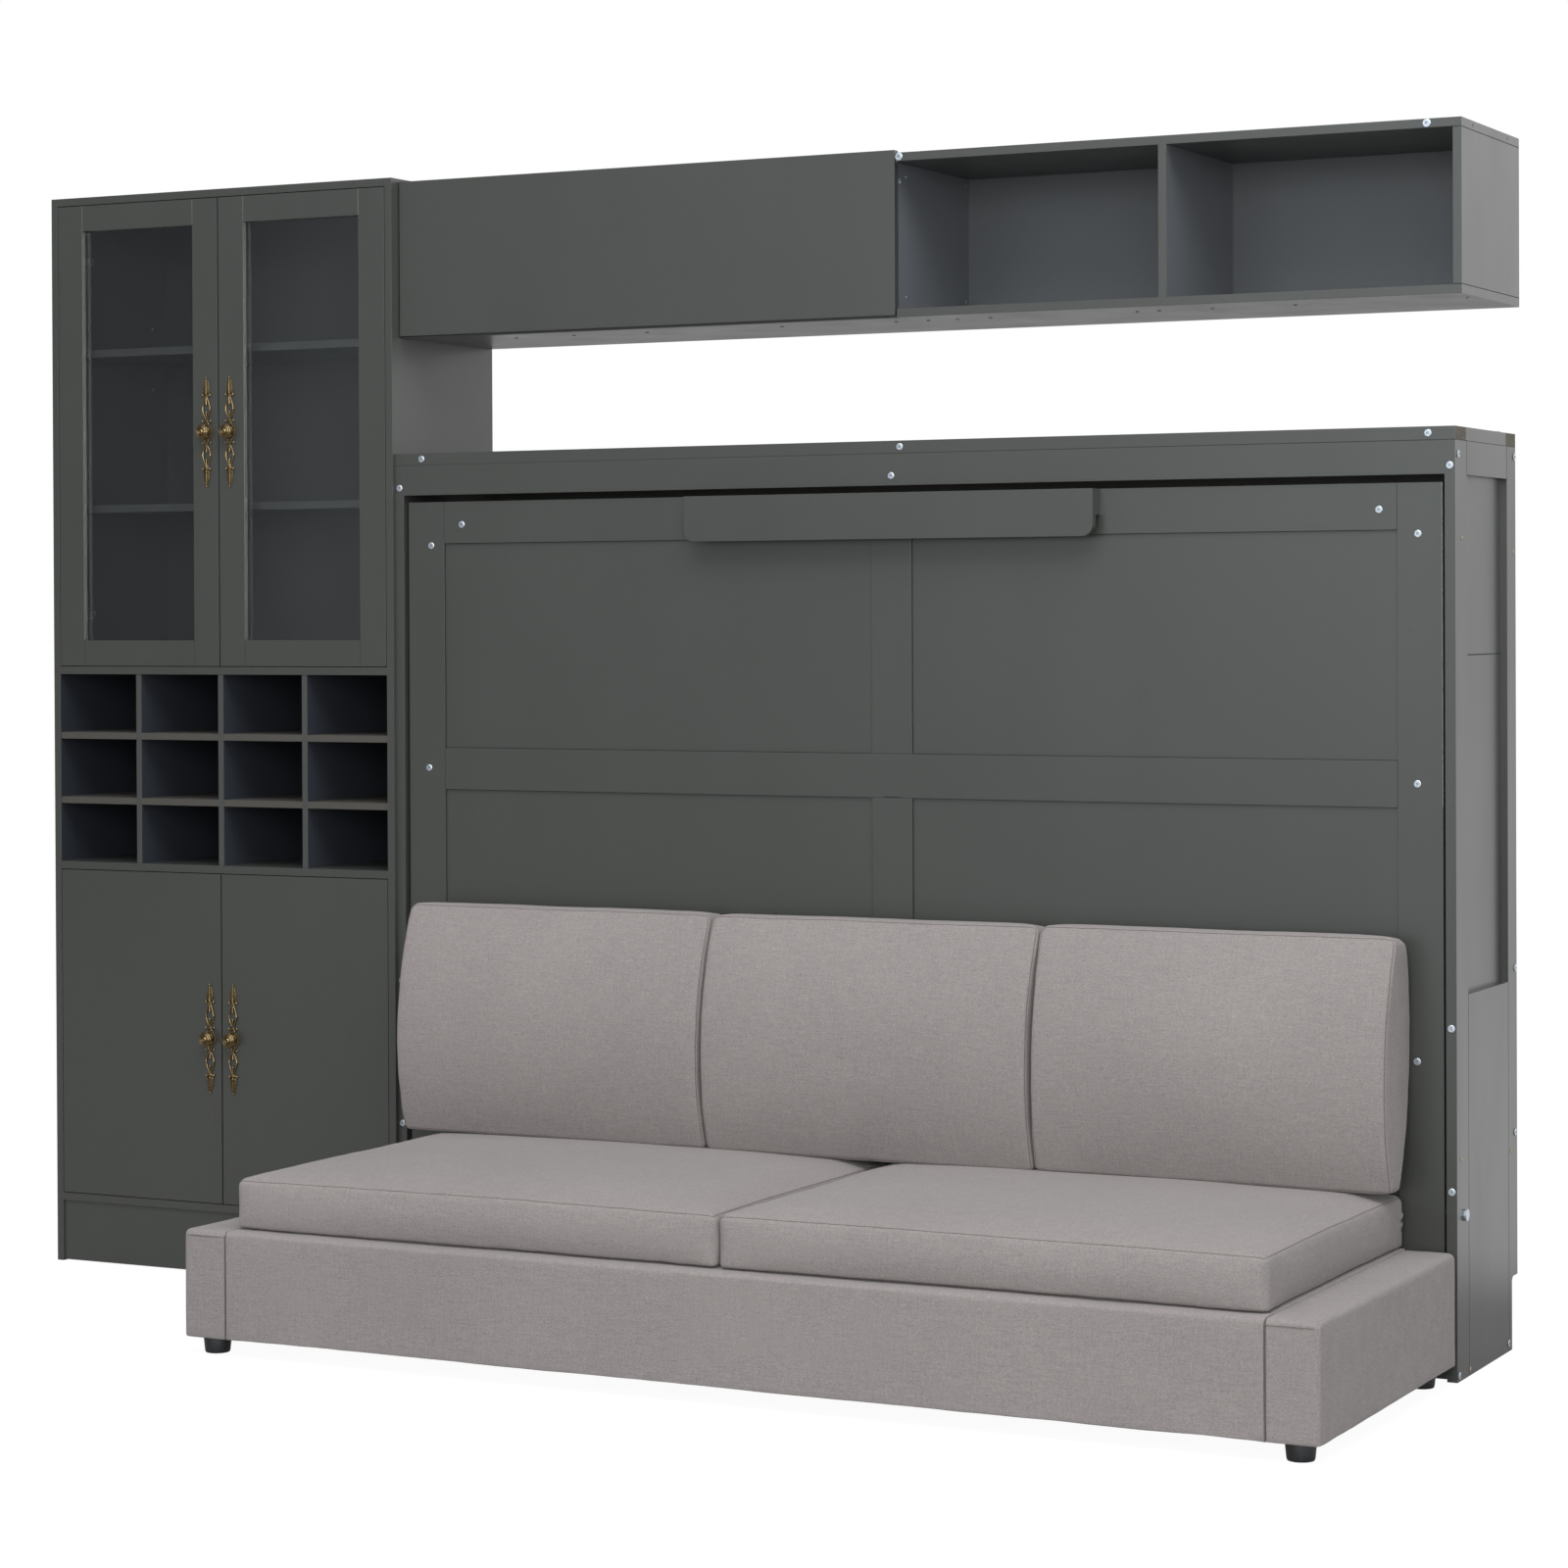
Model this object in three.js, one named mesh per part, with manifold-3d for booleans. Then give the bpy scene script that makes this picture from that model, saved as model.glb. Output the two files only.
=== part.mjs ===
// A wall bed with a sofa. The bed stands on its long side in a cabinet and folds down over a low
// sofa. A tower with glazed doors, a bottle rack and a cupboard stands on the left, and a shelf with
// a lift-up flap runs from the tower over the cabinet.
// Millimetres. +X is right, +Y is towards the wall, +Z is up.
import * as THREE from "three";
import { mergeVertices } from "three/addons/utils/BufferGeometryUtils.js";
import { RoundedBoxGeometry } from "three/addons/geometries/RoundedBoxGeometry.js";
import Module from "manifold-3d";

const wasm = await Module();
wasm.setup();

// Whole unit: every piece of furniture stands with its back on the wall
const unitDepth = 355;
const boardThickness = 15;
const backThickness = 5;
const seatClearance = 0.5;

// Tower
const towerWidth = 794;
const towerRise = 11;
const towerProud = 10;
const towerLowerHeight = 1162;
const rebateWidth = 7;
const kickHeight = 120;
const kickSetback = 4;
const kickLift = 2;
const cupboardHeight = 642;
const rackBoardThickness = 13;
const rackDividerThickness = 12;
const rackSetback = 2;
const rackColumns = 4;
const rackRows = 3;
const shelfSetback = 34;
const upperShelfHeightShares = [0.334, 0.672];

// Tower doors
const doorThickness = 18;
const doorGap = 1.5;
const doorMeetingGap = 3;
const doorStileWidth = 58;
const doorRailWidth = 50;
const hingeArmWidth = 8;
const hingeArmHeight = 14;
const hingeArmLength = 48;
const hingeFromDoorEnd = 100;
const hingePlay = 0.3;
const paneThickness = 4;
const paneLap = 8;
const paneDepthFromFront = 10;

// Door handles: a narrow cast plate of beads, loops and leaves, with a turned knob in the middle
const handleLength = 212;
const handleWidth = 22;
const handleRelief = 3;
const handleFromMeeting = 27;
const knobRadius = 14;
const knobReach = 25;
const handleBeadRadius = 2.7;
const loopWidth = 20;
const loopHeight = 36;
const loopWire = 3.6;
// Radius and reach of the rosette and the knob
const knobProfileShares = [
  [0, 0],
  [0.95, 0],
  [0.95, 0.08],
  [0.6, 0.14],
  [0.38, 0.3],
  [0.42, 0.5],
  [0.95, 0.64],
  [1, 0.76],
  [0.86, 0.86],
  [0.6, 0.86],
  [0.5, 0.96],
  [0, 1],
];
// Across as a share of half the width, along as a share of half the length, and size
const handleBeadShares = [
  [0.78, 0.196, 1],
  [0, 0.196, 0.9],
  [0, 0.35, 0.85],
  [0.74, 0.68, 1],
  [0, 0.68, 1],
  [0.48, 0.77, 0.95],
  [0.36, 0.85, 0.8],
  [0.22, 0.92, 0.65],
  [0, 0.975, 0.85],
];
// From and to as shares of half the length, with the stem's radius at each as a share of half the width
const handleStemShares = [
  [0.1, 0.21, 0.3, 0.2],
  [0.19, 0.36, 0.42, 0.14],
  [0.5, 0.7, 0.16, 0.24],
  [0.67, 0.98, 0.4, 0.1],
];
const loopCentreShare = 0.42;

// Overhead shelf
const overheadClearance = 219;
const overheadHeight = 291;
const overheadDepth = 340;
const overheadOverhang = 8;
const overheadBackThickness = 10;
const flapBayWidth = 1018;
const middleBayWidth = 501;
const flapThickness = 15;
const flapHeight = 292;
const flapRise = 5;
const flapEndGap = 2;
const flapLap = 3;
const flapStepGap = 4;

// Bed cabinet
const cabinetWidth = 2060;
const cabinetHeight = 1580;
const cabinetSideThickness = 18;
const cabinetTopThickness = 22;
const apronHeight = 57;
const frontPostWidth = 67;
const rearPostWidth = 52;
const lowerPlateHeight = 636;
const sidePocketDepth = 12;
const skirtingNotchDepth = 34;
const skirtingNotchHeight = 126;
const skirtingNotchRadius = 10;
const rearRailHeight = 100;

// Folding bed
const pivotFromFront = 43.5;
const pivotHeight = 272;
const pivotBoltRadius = 8;
const pivotClearance = 0.1;
const pivotHeadRadius = 10;
const pivotHeadThickness = 5;
const pivotReach = 16;
const bedSideGap = 6;
const bedTopGap = 13;
const bedSetback = 8;
const bedBottom = 60;
const faceFrameThickness = 12;
const faceMemberWidth = 78;
const upperPanelHeight = 384;
const facePanelRecess = 4;
const facePanelFit = 0.5;
const bedPanelThickness = 8;
const bedRailThickness = 18;
const bedRailDepth = 152;
const ledgerSize = 20;
const slatWidth = 68;
const slatThickness = 12;
const slatCount = 13;

// Pull board across the top of the bed's face
const pullWidth = 796;
const pullHeight = 82;
const pullThickness = 15;
const pullCornerRadius = 20;
const battenHeight = 45;
const battenDepth = 20;

// Sofa
const sofaDepth = 695;
const sofaGap = 2;
const sofaHeight = 217;
const armWidth = 88;
const sofaRailThickness = 45;
const upholsteryRadius = 9;
const deckThickness = 18;
const footHeight = 28;
const footRadius = 24.5;
const footTaper = 1;
const footFromEnd = 45;
const footFromFront = 40;
const footFromRear = 55;

// Cushions
const cushionGap = 3;
const seatFrontOverlap = 18;
const seatCushionThickness = 88;
const seatCushionRound = 18;
const seatCrown = 20;
const seatCrownPower = 0.5;
const seatDrawIn = 3;
const backCushionLength = 420;
const backCushionMiddle = 135;
const backCushionTop = 54;
const backCushionBottom = 40;
const backCushionRound = 13;
const backCrown = 9;
const backCornerRadius = 24;
const backOverhang = 10;
const backCushionLean = 5;
const backTaperPower = 2.2;

// Facet counts and the overrun of cuts
const roundSteps = 24;
const cornerSteps = 6;
const stemSides = 6;
const loopSides = 5;
const overrun = 5;
const mergeDistance = 1e-4;

// Finishes, each a colour with its roughness and metalness
const paint = { color: 0x4e524f, roughness: 0.5, metalness: 0 };
const insidePaint = { color: 0x3f4243, roughness: 0.6, metalness: 0 };
const linen = { color: 0x9e9894, roughness: 0.95, metalness: 0 };
const brass = { color: 0x8b6b38, roughness: 0.4, metalness: 1 };
const zinc = { color: 0xb4b7ba, roughness: 0.35, metalness: 1 };
const pine = { color: 0xc2a077, roughness: 0.7, metalness: 0 };
const blackPlastic = { color: 0x18191a, roughness: 0.5, metalness: 0 };
const clearGlass = { color: 0xd6dedb, roughness: 0.05, metalness: 0, transparent: true, opacity: 0.3 };

// Planes that several pieces share, with x = 0 at the cabinet's right side and y = 0 at its front
const wall = unitDepth;
const cabinetLeft = -cabinetWidth;
const towerRight = cabinetLeft;
const towerLeft = towerRight - towerWidth;
const towerFront = -towerProud;
const towerDepth = unitDepth + towerProud;
const innerLeft = towerLeft + boardThickness;
const innerRight = towerRight - boardThickness;
const towerBackFront = wall - backThickness;
const overheadFront = wall - overheadDepth;
const overheadBottom = cabinetHeight + overheadClearance;
const overheadTop = overheadBottom + overheadHeight;
const towerHeight = overheadTop + towerRise;

const unit = new THREE.Group();
unit.position.set(-(towerLeft + overheadOverhang) / 2, -(wall - sofaDepth) / 2, 0);
const part = new THREE.Group();
part.add(unit);
const fixed = new THREE.Group();
unit.add(fixed);

// Adds a mesh whose geometry starts at the given point of the unit
function addPiece(parent, name, finish, geometry, x, y, z) {
  const mesh = new THREE.Mesh(geometry, new THREE.MeshStandardMaterial(finish));
  mesh.name = name;
  mesh.position.set(x, y, z).sub(parent.position);
  parent.add(mesh);
  return mesh;
}

// A square-edged board between two planes each way
function addBoard(parent, name, finish, [x0, x1], [y0, y1], [z0, z1]) {
  const geometry = new THREE.BoxGeometry(x1 - x0, y1 - y0, z1 - z0);
  return addPiece(parent, name, finish, geometry, (x0 + x1) / 2, (y0 + y1) / 2, (z0 + z1) / 2);
}

// A moving group whose origin is a point on its axis
function addMover(x, y, z) {
  const mover = new THREE.Group();
  mover.position.set(x, y, z);
  unit.add(mover);
  return mover;
}

function span(start, size) {
  return [start, start + size];
}

// Closed geometry to a solid that can be joined and cut, and back again
function toSolid(geometry) {
  const bare = geometry.clone();
  bare.deleteAttribute("normal");
  bare.deleteAttribute("uv");
  const merged = mergeVertices(bare, mergeDistance);
  return new wasm.Manifold(
    new wasm.Mesh({
      numProp: 3,
      vertProperties: merged.attributes.position.array,
      triVerts: new Uint32Array(merged.index.array),
    }),
  );
}

function toGeometry(solid) {
  const mesh = solid.getMesh();
  const geometry = new THREE.BufferGeometry();
  geometry.setAttribute("position", new THREE.BufferAttribute(mesh.vertProperties, 3));
  geometry.setIndex(new THREE.BufferAttribute(mesh.triVerts, 1));
  geometry.computeVertexNormals();
  return geometry;
}

function boxSolid([x0, x1], [y0, y1], [z0, z1]) {
  const box = new THREE.BoxGeometry(x1 - x0, y1 - y0, z1 - z0);
  return toSolid(box.translate((x0 + x1) / 2, (y0 + y1) / 2, (z0 + z1) / 2));
}

function join(solids) {
  return solids.reduce((whole, solid) => whole.add(solid));
}

function outline(points) {
  return new THREE.Shape(points.map(([a, b]) => new THREE.Vector2(a, b)));
}

function extrude(shape, depth) {
  return new THREE.ExtrudeGeometry(shape, { depth, bevelEnabled: false, curveSegments: cornerSteps });
}

const xAxis = new THREE.Vector3(1, 0, 0);
const yAxis = new THREE.Vector3(0, 1, 0);
const zAxis = new THREE.Vector3(0, 0, 1);

// An outline drawn in X and Z, extruded towards the wall
function extrudeBack(shape, depth) {
  const turn = new THREE.Matrix4().makeBasis(xAxis, zAxis, yAxis.clone().negate());
  return extrude(shape, depth).applyMatrix4(turn).translate(0, depth, 0);
}

// An outline drawn in Y and Z, extruded to the right
function extrudeRight(shape, depth) {
  const turn = new THREE.Matrix4().makeBasis(yAxis, zAxis, xAxis);
  return extrude(shape, depth).applyMatrix4(turn);
}

// Heights of the tower's floors and of the doors between them
const towerTopBottom = towerHeight - boardThickness;
const cupboardFloor = kickHeight + boardThickness;
const cupboardCeiling = cupboardFloor + cupboardHeight;
const rackBottom = cupboardCeiling + boardThickness;
const upperFloorTop = towerLowerHeight + boardThickness;
const glassDoorHeight = [upperFloorTop + doorGap, towerTopBottom - doorGap];
const cupboardDoorHeight = [cupboardFloor + doorGap, cupboardCeiling - doorGap];

// Tower sides: each has a rebate at the rear inner corner for the back panel, and hinge arms that
// reach forward to its door
function addTowerSide(name, x, facing, [bottom, top], doorHeight) {
  const inside = facing * boardThickness;
  const lip = facing * (boardThickness - rebateWidth);
  const rebateFront = towerDepth - backThickness;
  const plan = outline([
    [0, 0],
    [inside, 0],
    [inside, rebateFront],
    [lip, rebateFront],
    [lip, towerDepth],
    [0, towerDepth],
  ]);
  const board = toSolid(extrude(plan, top - bottom).translate(x, towerFront, bottom));
  const armRoot = x + inside - (facing * boardThickness) / 2;
  const armFace = x + inside + facing * hingeArmWidth;
  const armSpan = [Math.min(armRoot, armFace), Math.max(armRoot, armFace)];
  const armDepth = span(towerFront + doorThickness + hingePlay, hingeArmLength);
  const solids = [doorHeight[0] + hingeFromDoorEnd, doorHeight[1] - hingeFromDoorEnd].map((z) => {
    const height = span(z - hingeArmHeight / 2, hingeArmHeight);
    return boxSolid(armSpan, armDepth, height);
  });
  addPiece(fixed, name, paint, toGeometry(join([board, ...solids])), 0, 0, 0);
}

const lowerHeight = [0, towerLowerHeight];
const upperHeight = [towerLowerHeight, towerTopBottom];
addTowerSide("lower_left_side", towerLeft, 1, lowerHeight, cupboardDoorHeight);
addTowerSide("lower_right_side", towerRight, -1, lowerHeight, cupboardDoorHeight);
addTowerSide("upper_left_side", towerLeft, 1, upperHeight, glassDoorHeight);
addTowerSide("upper_right_side", towerRight, -1, upperHeight, glassDoorHeight);

const innerSpan = [innerLeft, innerRight];
const towerInsideDepth = [towerFront, towerBackFront];
const backSpan = [innerLeft - rebateWidth, innerRight + rebateWidth];
const backDepth = [towerBackFront, wall];
addBoard(fixed, "lower_back", insidePaint, backSpan, backDepth, lowerHeight);
addBoard(fixed, "upper_back", insidePaint, backSpan, backDepth, upperHeight);
const towerTopHeight = span(towerTopBottom, boardThickness);
addBoard(fixed, "tower_top", paint, [towerLeft, towerRight], [towerFront, wall], towerTopHeight);

// Tower floors and the upper shelves
const kickDepth = span(towerFront + kickSetback, boardThickness);
addBoard(fixed, "kick_board", paint, innerSpan, kickDepth, [kickLift, kickHeight]);
addBoard(fixed, "cupboard_floor", paint, innerSpan, towerInsideDepth, span(kickHeight, boardThickness));
addBoard(fixed, "rack_floor", paint, innerSpan, towerInsideDepth, span(cupboardCeiling, boardThickness));
addBoard(fixed, "upper_floor", paint, innerSpan, towerInsideDepth, span(towerLowerHeight, boardThickness));
["upper_shelf_low", "upper_shelf_high"].forEach((name, index) => {
  const z = upperFloorTop + upperShelfHeightShares[index] * (towerTopBottom - upperFloorTop);
  const depth = [towerFront + shelfSetback, towerBackFront];
  addBoard(fixed, name, paint, innerSpan, depth, span(z, boardThickness));
});

// Bottle rack: boards halved into each other, dividers slotted from the rear, shelves from the front
const rackFront = towerFront + rackSetback;
const rackDepth = towerBackFront - rackFront;
const rackHeight = towerLowerHeight - rackBottom;
const rackWidth = innerRight - innerLeft;
const cellWidth = (rackWidth - (rackColumns - 1) * rackDividerThickness) / rackColumns;
const cellHeight = (rackHeight - (rackRows - 1) * rackBoardThickness) / rackRows;
const slotPlay = seatClearance / 2;
const halving = rackDepth / 2;

// The edge of a comb along one side of a board, with a slot for each crossing board
function combEdge(pitch, first, slotWidth, count, edge, inner) {
  const points = [];
  for (let i = 0; i < count; i += 1) {
    const start = first + i * pitch - slotPlay;
    const end = start + slotWidth + 2 * slotPlay;
    points.push([start, edge], [start, inner], [end, inner], [end, edge]);
  }
  return points;
}

const dividerComb = combEdge(
  cellHeight + rackBoardThickness,
  cellHeight,
  rackBoardThickness,
  rackRows - 1,
  rackDepth,
  halving - slotPlay,
).map(([z, y]) => [y, z]);
const dividerOutline = outline([
  [rackDepth, 0],
  ...dividerComb,
  [rackDepth, rackHeight],
  [0, rackHeight],
  [0, 0],
]);
for (let i = 1; i < rackColumns; i += 1) {
  const x = innerLeft + i * cellWidth + (i - 1) * rackDividerThickness;
  const geometry = extrudeRight(dividerOutline, rackDividerThickness);
  addPiece(fixed, `rack_divider_${i}`, paint, geometry, x, rackFront, rackBottom);
}

const shelfComb = combEdge(
  cellWidth + rackDividerThickness,
  cellWidth,
  rackDividerThickness,
  rackColumns - 1,
  0,
  halving + slotPlay,
);
const shelfOutline = outline([[0, 0], ...shelfComb, [rackWidth, 0], [rackWidth, rackDepth], [0, rackDepth]]);
for (let i = 1; i < rackRows; i += 1) {
  const z = rackBottom + i * cellHeight + (i - 1) * rackBoardThickness;
  const geometry = extrude(shelfOutline, rackBoardThickness);
  addPiece(fixed, `rack_shelf_${i}`, paint, geometry, innerLeft, rackFront, z);
}

// The plate's relief is half beads, half rings and half stems whose axes lie halfway into the relief.
// Each shape is drawn round the plate's centre, with the door's face at y = 0 and the room at -Y.
const reliefY = -handleRelief / 2;

function handleBead(x, z, radius) {
  return toSolid(new THREE.OctahedronGeometry(radius, 1).translate(x, reliefY, z));
}

function handleStem(z0, z1, radius0, radius1) {
  const stem = new THREE.CylinderGeometry(radius1, radius0, z1 - z0, stemSides).rotateX(Math.PI / 2);
  return toSolid(stem.translate(0, reliefY, (z0 + z1) / 2));
}

function handleLoop(z) {
  const loop = new THREE.TorusGeometry((loopWidth - loopWire) / 2, loopWire / 2, loopSides, roundSteps / 2);
  loop.scale(1, (loopHeight - loopWire) / (loopWidth - loopWire), 1);
  return toSolid(loop.rotateX(Math.PI / 2).translate(0, reliefY, z));
}

function handleSolid() {
  const halfLength = handleLength / 2;
  const halfWidth = handleWidth / 2;
  const half = [handleLoop(loopCentreShare * halfLength)];
  for (const [across, along, size] of handleBeadShares) {
    const x = across * halfWidth;
    const z = along * halfLength;
    half.push(handleBead(x, z, size * handleBeadRadius));
    if (x > 0) {
      half.push(handleBead(-x, z, size * handleBeadRadius));
      half.push(boxSolid([-x, x], [-handleRelief, 0], [z - handleBeadRadius / 2, z + handleBeadRadius / 2]));
    }
  }
  for (const [from, to, wide, narrow] of handleStemShares) {
    half.push(handleStem(from * halfLength, to * halfLength, wide * halfWidth, narrow * halfWidth));
  }
  const upper = join(half);
  const profile = knobProfileShares.map(([radius, reach]) => {
    return new THREE.Vector2(radius * knobRadius, reach * knobReach);
  });
  const knob = new THREE.LatheGeometry(profile, roundSteps / 2).rotateX(Math.PI);
  const door = boxSolid([-handleLength, handleLength], [0, handleLength], [-handleLength, handleLength]);
  return join([toSolid(knob), upper, upper.rotate([0, 180, 0])]).subtract(door);
}
const handleGeometry = toGeometry(handleSolid());

// Tower doors hang inside the sides on an axis along their outer front edge
const doorWidth = (rackWidth - 2 * doorGap - doorMeetingGap) / 2;
const meeting = (innerLeft + innerRight) / 2;

function addDoor(name, side, [bottom, top], glazed) {
  const axisX = side < 0 ? innerLeft + doorGap : innerRight - doorGap;
  const mover = addMover(axisX, towerFront, bottom);
  const width = [Math.min(axisX, axisX - side * doorWidth), Math.max(axisX, axisX - side * doorWidth)];
  const depth = span(towerFront, doorThickness);
  const height = [bottom, top];
  if (glazed) {
    const opening = [width[0] + doorStileWidth, width[1] - doorStileWidth];
    const openingHeight = [bottom + doorRailWidth, top - doorRailWidth];
    const lapped = [opening[0] - paneLap, opening[1] + paneLap];
    const lappedHeight = [openingHeight[0] - paneLap, openingHeight[1] + paneLap];
    const paneFront = towerFront + paneDepthFromFront;
    const frame = boxSolid(width, depth, height)
      .subtract(boxSolid(opening, [depth[0] - overrun, depth[1] + overrun], openingHeight))
      .subtract(boxSolid(lapped, [paneFront, depth[1] + overrun], lappedHeight));
    addPiece(mover, `${name}_frame`, paint, toGeometry(frame), 0, 0, 0);
    const paneWidth = [lapped[0] + seatClearance, lapped[1] - seatClearance];
    const paneHeight = [lappedHeight[0] + seatClearance, lappedHeight[1] - seatClearance];
    addBoard(mover, `${name}_pane`, clearGlass, paneWidth, span(paneFront, paneThickness), paneHeight);
  } else {
    addBoard(mover, name, paint, width, depth, height);
  }
  const handleX = meeting + side * handleFromMeeting;
  addPiece(mover, `${name}_handle`, brass, handleGeometry.clone(), handleX, towerFront, (bottom + top) / 2);
}

addDoor("glass_door_left", -1, glassDoorHeight, true);
addDoor("glass_door_right", 1, glassDoorHeight, true);
addDoor("cupboard_door_left", -1, cupboardDoorHeight, false);
addDoor("cupboard_door_right", 1, cupboardDoorHeight, false);

// Overhead shelf: it is fixed to the tower's side at its left and to the wall behind
const overheadInside = [overheadBottom + boardThickness, overheadTop - boardThickness];
const overheadRun = [towerRight, overheadOverhang];
const overheadBackFront = wall - overheadBackThickness;
const overheadBayDepth = [overheadFront, overheadBackFront];
const flapBayRight = towerRight + flapBayWidth;
const middleBayLeft = flapBayRight + boardThickness;
const rightBayLeft = middleBayLeft + middleBayWidth + boardThickness;
const rightEndLeft = overheadOverhang - boardThickness;
const flapRight = middleBayLeft + flapLap;
const flapBayFront = overheadFront + flapThickness + seatClearance;
const steppedPlan = outline([
  [overheadRun[0], flapBayFront],
  [flapRight + flapStepGap, flapBayFront],
  [flapRight + flapStepGap, overheadFront],
  [overheadRun[1], overheadFront],
  [overheadRun[1], wall],
  [overheadRun[0], wall],
]);
addPiece(fixed, "overhead_bottom", paint, extrude(steppedPlan, boardThickness), 0, 0, overheadBottom);
addPiece(fixed, "overhead_top", paint, extrude(steppedPlan, boardThickness), 0, 0, overheadInside[1]);
const overheadBackDepth = [overheadBackFront, wall];
addBoard(fixed, "overhead_back", insidePaint, [towerRight, rightEndLeft], overheadBackDepth, overheadInside);
const dividerDepth = [flapBayFront, overheadBackFront];
addBoard(fixed, "overhead_divider_left", paint, [flapBayRight, middleBayLeft], dividerDepth, overheadInside);
addBoard(
  fixed,
  "overhead_divider_right",
  paint,
  [rightBayLeft - boardThickness, rightBayLeft],
  overheadBayDepth,
  overheadInside,
);
const rightEndSpan = [rightEndLeft, overheadOverhang];
addBoard(fixed, "overhead_right_end", paint, rightEndSpan, [overheadFront, wall], overheadInside);

const flapTop = overheadTop + flapRise;
const flapDepth = span(overheadFront, flapThickness);
const flap = addMover(0, flapDepth[1], flapTop);
const flapSpan = [towerRight + flapEndGap, flapRight];
addBoard(flap, "flap_door", paint, flapSpan, flapDepth, [flapTop - flapHeight, flapTop]);

// Bed cabinet sides: posts, a lower plate and a top block round a sunk panel, with a skirting notch
const cabinetSideTop = cabinetHeight - cabinetTopThickness;
const apronBottom = cabinetSideTop - apronHeight;

function addCabinetSide(name, x, outwards) {
  const shape = new THREE.Shape();
  const notchFront = unitDepth - skirtingNotchDepth;
  shape.moveTo(0, 0);
  shape.lineTo(notchFront, 0);
  shape.lineTo(notchFront, skirtingNotchHeight - skirtingNotchRadius);
  shape.absarc(
    notchFront + skirtingNotchRadius,
    skirtingNotchHeight - skirtingNotchRadius,
    skirtingNotchRadius,
    Math.PI,
    Math.PI / 2,
    true,
  );
  shape.lineTo(unitDepth, skirtingNotchHeight);
  shape.lineTo(unitDepth, cabinetSideTop);
  shape.lineTo(0, cabinetSideTop);
  const hole = new THREE.Path();
  hole.absarc(pivotFromFront, pivotHeight, pivotBoltRadius + pivotClearance, 0, 2 * Math.PI, true);
  shape.holes.push(hole);
  const slab = new THREE.ExtrudeGeometry(shape, {
    depth: cabinetSideThickness,
    bevelEnabled: false,
    curveSegments: roundSteps,
  });
  const turn = new THREE.Matrix4().makeBasis(yAxis, zAxis, xAxis);
  const pocketStart = outwards > 0 ? cabinetSideThickness - sidePocketDepth : -overrun;
  const pocketX = span(pocketStart, sidePocketDepth + overrun);
  const pocketDepth = [frontPostWidth, unitDepth - rearPostWidth];
  const pocket = boxSolid(pocketX, pocketDepth, [lowerPlateHeight, apronBottom]);
  const side = toSolid(slab.applyMatrix4(turn)).subtract(pocket);
  addPiece(fixed, name, paint, toGeometry(side), x, 0, 0);
}
addCabinetSide("cabinet_left_side", cabinetLeft, -1);
addCabinetSide("cabinet_right_side", -cabinetSideThickness, 1);

const betweenSides = [cabinetLeft + cabinetSideThickness, -cabinetSideThickness];
const railDepth = [wall - cabinetSideThickness, wall];
const apronDepth = [0, cabinetSideThickness];
const rearRailSpan = [cabinetSideTop - rearRailHeight, cabinetSideTop];
addBoard(fixed, "cabinet_top", paint, [cabinetLeft, 0], [0, wall], span(cabinetSideTop, cabinetTopThickness));
addBoard(fixed, "cabinet_apron", paint, betweenSides, apronDepth, [apronBottom, cabinetSideTop]);
addBoard(fixed, "cabinet_rear_rail", paint, betweenSides, railDepth, rearRailSpan);

// Pivot bolts: each turns in a bed rail and is held in a cabinet side, with a collar in the gap
const bedLeft = cabinetLeft + cabinetSideThickness + bedSideGap;
const bedRight = -cabinetSideThickness - bedSideGap;

function addPivotBolt(name, x, inwards, headThickness) {
  const collarStart = headThickness + cabinetSideThickness + seatClearance;
  const collarEnd = headThickness + cabinetSideThickness + bedSideGap - seatClearance;
  const end = collarEnd + seatClearance + pivotReach;
  const head = [
    [pivotHeadRadius, 0],
    [pivotHeadRadius, headThickness],
    [pivotBoltRadius, headThickness],
  ];
  const profile = [
    [0, 0],
    ...(headThickness > 0 ? head : [[pivotBoltRadius, 0]]),
    [pivotBoltRadius, collarStart],
    [pivotHeadRadius, collarStart],
    [pivotHeadRadius, collarEnd],
    [pivotBoltRadius, collarEnd],
    [pivotBoltRadius, end],
    [0, end],
  ];
  const points = profile.map(([radius, reach]) => new THREE.Vector2(radius, reach));
  const bolt = new THREE.LatheGeometry(points, roundSteps).rotateZ((-inwards * Math.PI) / 2);
  addPiece(fixed, name, zinc, bolt, x - inwards * headThickness, pivotFromFront, pivotHeight);
}
addPivotBolt("pivot_bolt_left", cabinetLeft, 1, 0);
addPivotBolt("pivot_bolt_right", 0, -1, pivotHeadThickness);

// Folding bed: face frame with sunk panels, box frame, slats and pull board
const bed = addMover(0, pivotFromFront, pivotHeight);
const bedTop = apronBottom - bedTopGap;
const bedWidth = bedRight - bedLeft;
const faceBack = bedSetback + faceFrameThickness;
const windowWidth = (bedWidth - 3 * faceMemberWidth) / 2;
const upperRowTop = bedTop - faceMemberWidth;
const lowerRowTop = upperRowTop - upperPanelHeight - faceMemberWidth;
const windows = [];
for (const z of [
  [upperRowTop - upperPanelHeight, upperRowTop],
  [bedBottom + faceMemberWidth, lowerRowTop],
]) {
  for (const column of [0, 1]) {
    const left = bedLeft + faceMemberWidth + column * (windowWidth + faceMemberWidth);
    windows.push({ x: span(left, windowWidth), z });
  }
}

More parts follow.
